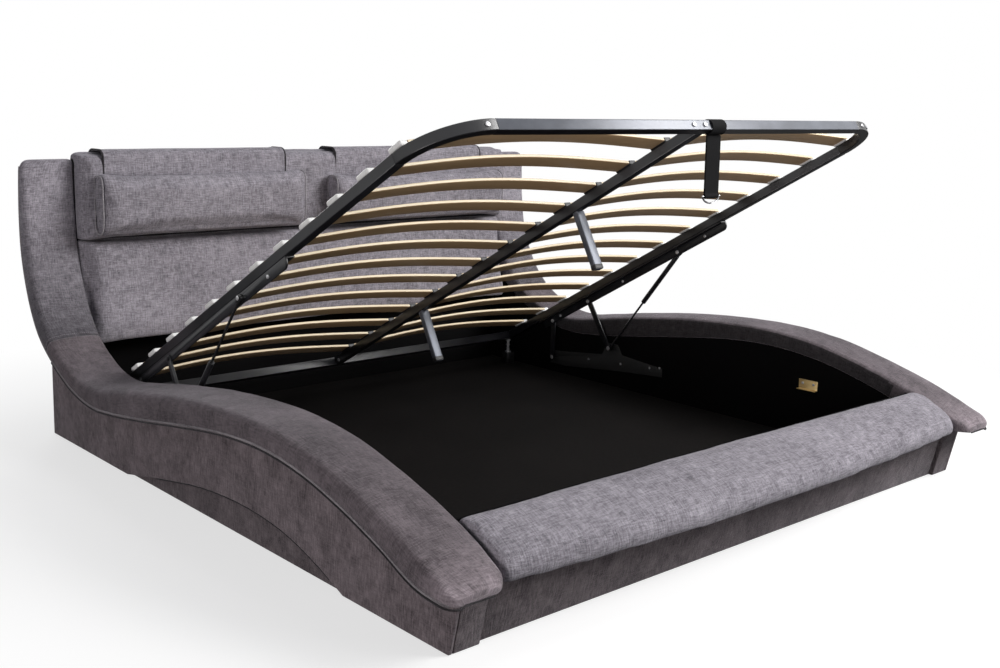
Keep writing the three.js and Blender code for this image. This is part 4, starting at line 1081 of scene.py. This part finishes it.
RAIL_END_ROUND = 0.018
RAIL_LOWER_END = (0.901, 0.7, -0.0603)
NEAR_END = 0.002
for side, hand in SIDES:
    # Painted shade: the base plates take the darker steel for the shade inside the storage space.
    for solid, body, finish in (("base_plate", "base", "dull_steel"), ("front_link", "front_links", None),
                                ("rear_link", "rear_links", None)):
        solid = f"{solid}_{hand}"
        steel_shape(rounded_rims(merged_copy(solid), 0.0006, 2), solid, body, finish=finish)
    solid = f"lift_rail_{hand}"
    work = merged_copy(solid)
    lower = PLATFORM @ Vector(RAIL_LOWER_END)
    ends = [edge for edge in work.edges
            if all(abs((vert.co - lower).dot(way)) < NEAR_END
                   for vert in edge.verts for way in (ALONG, ABOVE))]
    bevelled(work, ends, RAIL_END_ROUND, 5)
    steel_shape(rounded_rims(work, 0.0008, 2), solid, "lift_frame")
for solid, body, radius, segments, slot, finish in (
    # Painted reflection: the legs take the lighter blue-grey finish for the sheen on their black coat.
    ("support_leg_foot", "lift_frame", 0.003, 3, "black_steel", "leg_steel"),
    ("support_leg_head", "lift_frame", 0.003, 3, "black_steel", "leg_steel"),
    ("strut_cylinder_left", "lower_struts", 0.0005, 2, "black_steel", None),
    ("strut_cylinder_right", "upper_struts", 0.0005, 2, "black_steel", None),
    ("strut_rod_right", "lower_struts", 0.0004, 2, "strut_rod", None),
    ("strut_rod_left", "upper_struts", 0.0004, 2, "strut_rod", None),
):
    steel_shape(rounded_rims(merged_copy(solid), radius, segments), solid, body, slot, finish)
print("plates, links, rails, legs and struts")

# %% [markdown]
# A slat is bowed ply: a short section of rounded rectangle swept from the middle holder to the side
# cap along half a sine wave. The sawn long edges get their own pale finish, face by face.

# %% Slats
SLAT_ROWS = 13
SLAT_FIRST = 0.1487
SLAT_PITCH = 0.1435
SLAT_START = 0.012
SLAT_END = 0.88
SLAT_SEAT = 0.0043
SLAT_RISE = 0.027
SLAT_WIDTH = 0.056
SLAT_THICK = 0.009
SLAT_EDGE = 0.0022
SLAT_STEPS = 28
CAP_SIZE, CAP_X, CAP_UP = (0.034, 0.052, 0.014), 0.886, 0.0073
HOLDER_SIZE, HOLDER_UP = (0.026, 0.06, 0.0138), 0.0072


def slat(work, side, along):
    half = SLAT_WIDTH / 2 - SLAT_EDGE
    low, high = SLAT_EDGE, SLAT_THICK - SLAT_EDGE
    section = []
    for corner, start in (((half, low), -90), ((half, high), 0),
                          ((-half, high), 90), ((-half, low), 180)):
        section += round_corner(corner, SLAT_EDGE, start, start + 90, 3)
    sections = []
    for step in range(SLAT_STEPS + 1):
        share = step / SLAT_STEPS
        x = SLAT_START + (SLAT_END - SLAT_START) * share
        rise = SLAT_SEAT + SLAT_RISE * math.sin(math.pi * share)
        sections.append([PLATFORM @ Vector((side * x, along + a, rise + b)) for a, b in section])
    return sweep(sections, work)


for place in range(SLAT_ROWS):
    along = SLAT_FIRST + SLAT_PITCH * place
    slats, caps = bmesh.new(), bmesh.new()
    for side, _ in SIDES:
        slat(slats, side, along)
        rounded_block(CAP_SIZE, (side * CAP_X, along, CAP_UP), 0.0045, 3, caps, PLATFORM)
    for face in slats.faces:
        face.material_index = int(abs(face.normal.dot(ALONG)) > 0.8)
    name = f"slat_row_{place + 1:02d}"
    finished(slats, f"{name}_ply", "lift_frame", "birch", ("birch", "birch_edge"), stands_for=[name],
             crease=50)
    finished(caps, f"slat_caps_{place + 1:02d}", "lift_frame", "slat_cap")
    holder = rounded_block(HOLDER_SIZE, (0, along, HOLDER_UP), 0.003, place=PLATFORM)
    finished(holder, f"slat_holder_{place + 1:02d}", "lift_frame", "black_steel", "black_plastic")
print(SLAT_ROWS, "rows of slats")

# %% [markdown]
# The pull strap is one length of webbing. It goes round the foot tube, both layers hang down, and the
# loop at their end holds a ring. It is drawn as a line, given a thickness and swept over its width.

# %% Strap, ring and bracket
STRAP_TOP = Vector((-0.79711, 1.08488))
STRAP_X = (0.025, 0.082)
WEB = 0.0022
WEB_STEPS = 150
WEB_EDGE = 0.0006


def ribbon(line, thick, xs):
    """Sweep a line with thickness over xs. The second layer comes back the other way."""
    outline = []
    for side in (-1, 1):
        layer = []
        for place, spot in enumerate(line):
            ahead = heading(line, place)
            layer.append(spot + Vector((ahead.y, -ahead.x)) * side * thick / 2)
        outline += layer[::-side]
    return sweep([[Vector((x, *spot)) for spot in outline] for x in xs])


web_path = [(-0.0013, -0.0225), (-0.0016, -0.08), (-0.0013, -0.14), (-0.0013, -0.1775)]
web_path += round_corner((0, -0.185), 0.0052, 115, 425, 14)
web_path += [(0.0013, -0.1775), (0.0012, -0.14), (0.0015, -0.08), (0.0013, -0.0225)]
web_path += round_corner((0, 0), 0.0198, -84, 262, 30)
web_line = along_line([STRAP_TOP + Vector(spot) for spot in web_path], WEB_STEPS)
low_x, high_x = STRAP_X
xs = [low_x, low_x + WEB_EDGE] + evenly(low_x, high_x, 12, 0.003) + [high_x - WEB_EDGE, high_x]
strap = finished(ribbon(web_line, WEB, xs), "pull_strap_webbing", "strap", "webbing",
                 stands_for=["pull_strap"], crease=50)
finished(merged_copy("strap_ring"), "strap_ring_wire", "strap", "ring_steel",
         stands_for=["strap_ring"], crease=60)
bracket = rounded_rims(merged_copy("corner_bracket"), 0.0006, 2, 40)
finished(bracket, "corner_bracket_plate", "base", "brass", stands_for=["corner_bracket"])
print("the strap's webbing is", round(line_length(web_line), 3), "m long")

# %% [markdown]
# Bolt and rivet heads are small domes: a short cylinder whose outer rim is rounded over. They are
# bright zinc on black steel, so they are the points of light that the eye finds in the dark frame.

# %% Bolt heads
RIM_SHARE = 0.4


def disc(work, radius, height, sides, place):
    return bmesh.ops.create_cone(work, cap_ends=True, segments=sides, radius1=radius, radius2=radius,
                                 depth=height, matrix=place)["verts"]


def dome(work, place, outward, radius, height):
    turned = outward.to_track_quat("Z", "Y").to_matrix().to_4x4()
    verts = disc(work, radius, height, 24, Matrix.Translation(place + outward * height / 2) @ turned)
    top = place + outward * height
    rims = [edge for edge in {edge for vert in verts for edge in vert.link_edges}
            if all((vert.co - top).dot(outward) > -1e-5 for vert in edge.verts)]
    bevelled(work, rims, min(radius, height) * RIM_SHARE, 2)


def heads(name, body, slot, spots):
    """Domes from (place, outward, radius, height)."""
    work = bmesh.new()
    for place, outward, radius, height in spots:
        dome(work, Vector(place), Vector(outward).normalized(), radius, height)
    finished(work, name, body, slot, "bolt_steel")
    return len(spots)


# Each bolt has its facing, outward or inward, its place on the platform, its radius and its height.
SIDE_BOLTS = (
    (-1, 0.899, 0.951, -0.048, 0.0075, 0.0035), (-1, 0.899, 1.469, -0.048, 0.0075, 0.0035),
    (-1, 0.899, 1.697, -0.048, 0.0075, 0.0035), (-1, 0.899, 0.806, -0.045, 0.0055, 0.003),
    (-1, 0.899, 1.255, -0.045, 0.0055, 0.003), (-1, 0.899, 1.643, -0.045, 0.0055, 0.003),
    (1, 0.903, 0.806, -0.045, 0.0055, 0.003), (1, 0.9238, 0.951, -0.048, 0.0065, 0.0016),
    (1, 0.9092, 1.697, -0.048, 0.0065, 0.0018),
)
CORNER_BOLTS = {"left": (0.16,), "right": (0.16, 0.42)}
TUBE_MIDDLE = -TUBE_DEEP / 2
spots = []
for side, hand in SIDES:
    spots += [(PLATFORM @ Vector((side * x, s, up)), (side * facing, 0, 0), radius, height)
              for facing, x, s, up, radius, height in SIDE_BOLTS]
    for turn in CORNER_BOLTS[hand]:
        outward = away_from_corner(side, turn)
        place = Vector((side * CORNER_X, CORNER_S, TUBE_MIDDLE)) + outward * CORNER_RADIUS
        spots.append((PLATFORM @ place, PLATFORM.to_3x3() @ outward, 0.006, 0.003))
for x in (-0.045, 0.0):
    spots.append((PLATFORM @ Vector((x, FOOT_NOSE, TUBE_MIDDLE)), -ALONG, 0.0065, 0.0048))
for x in (-0.0142, 0.0142):
    spots.append((PLATFORM @ Vector((x, 1.93, -0.018)), (math.copysign(1, x), 0, 0), 0.006, 0.003))
count = heads("frame_bolts", "lift_frame", "ring_steel", spots)
LINK_FACE = 0.9036
for body, name, place in (("front_links", "front_link", (0.36098, 0.17977)),
                          ("rear_links", "rear_link", (0.68026, 0.08961))):
    count += heads(f"{name}_rivets", body, "ring_steel",
                   [((side * LINK_FACE, *place), (-side, 0, 0), 0.0085, 0.0004) for side, _ in SIDES])
count += heads("base_plate_screws", "base", "ring_steel",
               [((side * 0.9267, y, z), (-side, 0, 0), 0.0045, 0.0018) for side, _ in SIDES
                for y, z in ((0.488, 0.111), (0.311, 0.122), (0.159, 0.133), (0.109, 0.142))])
count += heads("bracket_screws", "base", "brass",
               [((0.9272, y, 0.208), (-1, 0, 0), 0.005, 0.0016) for y in (-0.5352, -0.5782)])
print(count, "bolts, rivets and screws")

# %% [markdown]
# Each support leg has a black plug in its free end. At the head end of the storage space the photograph
# shows a short bright post near each side, and here each one stands on a black block on the floor board.

# %% Leg plugs and head posts
LEG_SHARES = (0.2636, 0.6894)
PLUG_SIZE, PLUG_UP = (0.0332, 0.0212, 0.016), -0.2065
POST_X, POST_Y, POST_FOOT = 0.887, 0.936, 0.07
POST_TURNED = ((0.074, 0.132, 0.0065), (POST_FOOT, 0.0745, 0.0135), (0.12, 0.13, 0.011),
               (0.1, 0.105, 0.009))
BLOCK_WIDE = 0.04
plugs, posts, blocks = bmesh.new(), bmesh.new(), bmesh.new()
floor_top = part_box("floor_board")[1].z
for share in LEG_SHARES:
    rounded_block(PLUG_SIZE, (0, share * PLATFORM_LENGTH, PLUG_UP), 0.003, 2, plugs, PLATFORM)
for side, _ in SIDES:
    for low, high, radius in POST_TURNED:
        middle = Matrix.Translation((side * POST_X, POST_Y, (low + high) / 2))
        disc(posts, radius, high - low, 20, middle)
    rounded_block((BLOCK_WIDE, BLOCK_WIDE, POST_FOOT - floor_top),
                  (side * POST_X, POST_Y, (POST_FOOT + floor_top) / 2), 0.003, 2, blocks)
finished(plugs, "leg_plugs", "lift_frame", "black_steel", "black_plastic")
finished(posts, "head_posts", "base", "ring_steel", "bolt_steel")
finished(blocks, "post_blocks", "base", "black_steel", "black_plastic")
print("two leg plugs and two head posts")

# %% [markdown]
# Where the wing meets the rail the two covers are topstitched. Each side of the seam has a row of
# short light stitches that stand a little above the cloth.

# %% Topstitching
STITCH_PITCH = 0.0065
STITCH_LENGTH = 0.0042
STITCH_RADIUS = 0.0006
STITCH_LIFT = 0.0004
ROW_AWAY = 0.0075


def stitches(work, line):
    count = int(line_length(line) / STITCH_PITCH)
    marks = along_line(line, count * 4)
    for start, ahead in zip(marks[:-1:4], marks[4::4]):
        half = (ahead - start).normalized() * STITCH_LENGTH / 2
        tube([start, start + half, start + half * 2], STITCH_RADIUS, 4, work)
    return count


for side, hand in SIDES:
    work = bmesh.new()
    for away in (-ROW_AWAY, ROW_AWAY):
        spot, direction, depth = on_band(SEAM_REACH + away)
        depth -= seam_dip(abs(away))
        line = [band_place(side, spot, direction, x, z) for x, z in band_section(depth)[4:-1]]
        centre = band_place(side, spot, direction, BAND_WIDTH / 2, depth / 2)
        count = stitches(work, [place + (place - centre).normalized() * STITCH_LIFT for place in line])
    finished(work, f"wing_stitches_{hand}", "base", "upholstery", "piping")
print(count, "stitches in each row on the wing seams")

# %% [markdown]
# The boards inside stay as they are packed. They only need their cloth or their board finish, and it
# goes on the material slots that they already have. Behind the headboard a dust cloth is stapled on,
# and its staples stand in a row along three edges.

# %% Boards of the storage space
INSIDE = {"side_lining_left": "lining", "side_lining_right": "lining", "foot_lining": "lining",
          "head_wall": "lining", "headboard_frame": "backing", "floor_board": "board"}
for solid, finish in INSIDE.items():
    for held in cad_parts[solid].material_slots:
        held.material = FINISHES[finish]
STAPLE, STAPLE_WIRE, STAPLE_OUT = 0.011, 0.0012, 0.0009
STAPLE_INSET = 0.014
low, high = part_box("headboard_frame")
xs = evenly(low.x, high.x, 30, STAPLE_INSET)
staples = [(x, low.z + STAPLE_INSET, STAPLE, STAPLE_WIRE) for x in xs]
staples += [(x, z, STAPLE_WIRE, STAPLE) for x in (low.x + STAPLE_INSET, high.x - STAPLE_INSET)
            for z in evenly(low.z, high.z, 14, STAPLE_INSET)[1:-1]]
work = bmesh.new()
for x, z, wide, tall in staples:
    rounded_block((wide, STAPLE_OUT, tall), (x, high.y + 0.0002, z), 0.0003, 1, work)
finished(work, "back_staples", "base", "ring_steel", "bolt_steel")
print(len(staples), "staples hold the dust cloth behind the headboard")

# %% [markdown]
# The camera stands low at the foot's left corner, as the photographer did. Its place and its lens
# were found from straight lines of the bed in the photograph.

# %% Camera
RIGHT = Vector((0.74749364, -0.6639728, 0.01983365))
UP = Vector((0.08264629, 0.12258526, 0.98901084))
FORWARD = Vector((0.65910761, 0.73764014, -0.14650659))
CAMERA_PLACE = (-2.50084, -2.83101, 1.13953)
camera_data = bpy.data.cameras.new("camera")
camera_data.sensor_width = 36
camera_data.lens = 42.912
camera_data.shift_x = -0.0056
camera_data.shift_y = -0.0552
camera_data.clip_start = 0.1
camera = new_object("camera", camera_data)
turned = Matrix((RIGHT, UP, -FORWARD)).transposed().to_4x4()
camera.matrix_world = Matrix.Translation(CAMERA_PLACE) @ turned
bpy.context.scene.camera = camera
print("camera at", CAMERA_PLACE)

# %% [markdown]
# A wide soft lamp stands above and in front, weaker ones fill from the left, from low down and from
# behind, and the world adds a little. The background is white only where it is looked at or mirrored,
# so it doesn't light the black inside.

# %% Light and background
# Each lamp has a place, a target, a size, a power and a colour.
LAMPS = {
    "key": ((3.5, -4.1, 3.9), (0, 0, 0.4), (3.4, 3.0), 480, (1.0, 0.99, 0.985)),
    "top": ((1.2, -0.6, 5.4), (0, -0.2, 0.3), (2.4, 2.4), 45, (1, 1, 1)),
    "low": ((0.8, -5.0, 0.5), (0, 0.4, 0.9), (3.0, 0.8), 20, (1, 1, 1)),
    "back": ((0.5, 4.8, 1.8), (0, 1.0, 0.5), (3.2, 1.4), 60, (1, 1, 1)),
    "fill": ((-5.0, -1.8, 0.6), (-1.0, 0, 0.3), (2.6, 0.7), 80, (1.0, 0.95, 0.95)),
}
for name, (place, target, size, power, colour) in LAMPS.items():
    lamp = bpy.data.lights.new(name, "AREA")
    lamp.shape = "RECTANGLE"
    lamp.size, lamp.size_y = size
    lamp.energy = power
    lamp.color = colour
    aim = (Vector(target) - Vector(place)).to_track_quat("-Z", "Y")
    new_object(name, lamp).matrix_world = Matrix.Translation(place) @ aim.to_matrix().to_4x4()

world = bpy.data.worlds.new("studio")
bpy.context.scene.world = world
world.use_nodes = True
tree = world.node_tree
ambient = tree.nodes["Background"]
ambient.inputs["Color"].default_value = (0.9, 0.93, 1.0, 1)
ambient.inputs["Strength"].default_value = 0.16
white = node(tree, "ShaderNodeBackground", Color=(1, 1, 1, 1))
rays = node(tree, "ShaderNodeLightPath").outputs
seen = sums(tree, rays["Is Camera Ray"], rays["Is Transmission Ray"], "MAXIMUM")
seen = sums(tree, seen, rays["Is Glossy Ray"], "MAXIMUM")
sky = blend_shaders(tree, seen, ambient, white)
put(tree, tree.nodes["World Output"].inputs["Surface"], sky.outputs["Shader"])
print("lamps:", ", ".join(LAMPS))

# %% [markdown]
# The floor is plain and pale, and it fades into the background. It only has to take the soft shadow
# under the bed, and to the light that it throws back it is darker than it looks.

# %% Floor
FLOOR_HALF, FLOOR_DROP = 14, 0.0006
floor = bmesh.new()
bmesh.ops.create_grid(floor, x_segments=1, y_segments=1, size=FLOOR_HALF,
                      matrix=Matrix.Translation((0, 0, -FLOOR_DROP)))
floor_mesh = bpy.data.meshes.new("floor")
floor.to_mesh(floor_mesh)
floor.free()
tree, shader = new_finish("floor", 0.9, Base_Color=(0.4, 0.4, 0.4, 1), Specular_IOR_Level=0.0)
pale = node(tree, "ShaderNodeAddShader")
for place, part in enumerate((shader, node(tree, "ShaderNodeEmission", Strength=0.66))):
    put(tree, pale.inputs[place], part.outputs[0])
away = node(tree, "ShaderNodeVectorMath", operation="LENGTH")
put(tree, away.inputs[0], object_place(tree))
plain = node(tree, "ShaderNodeEmission", Strength=1.0)
fade = blend_shaders(tree, spread(tree, away.outputs["Value"], 1.4, 2.6), pale, plain)
dull = node(tree, "ShaderNodeBsdfDiffuse", Color=(0.1, 0.1, 0.1, 1))
rays = node(tree, "ShaderNodeLightPath").outputs
shown = blend_shaders(tree, rays["Is Camera Ray"], dull, fade)
put(tree, tree.nodes["Material Output"].inputs["Surface"], shown.outputs["Shader"])
floor_mesh.materials.append(FINISHES["floor"])
new_object("floor", floor_mesh)
print("a plain floor for the shadow")

# %% [markdown]
# Last, the colour view is set to Standard.

# %% Finish
bpy.context.scene.view_settings.view_transform = "Standard"
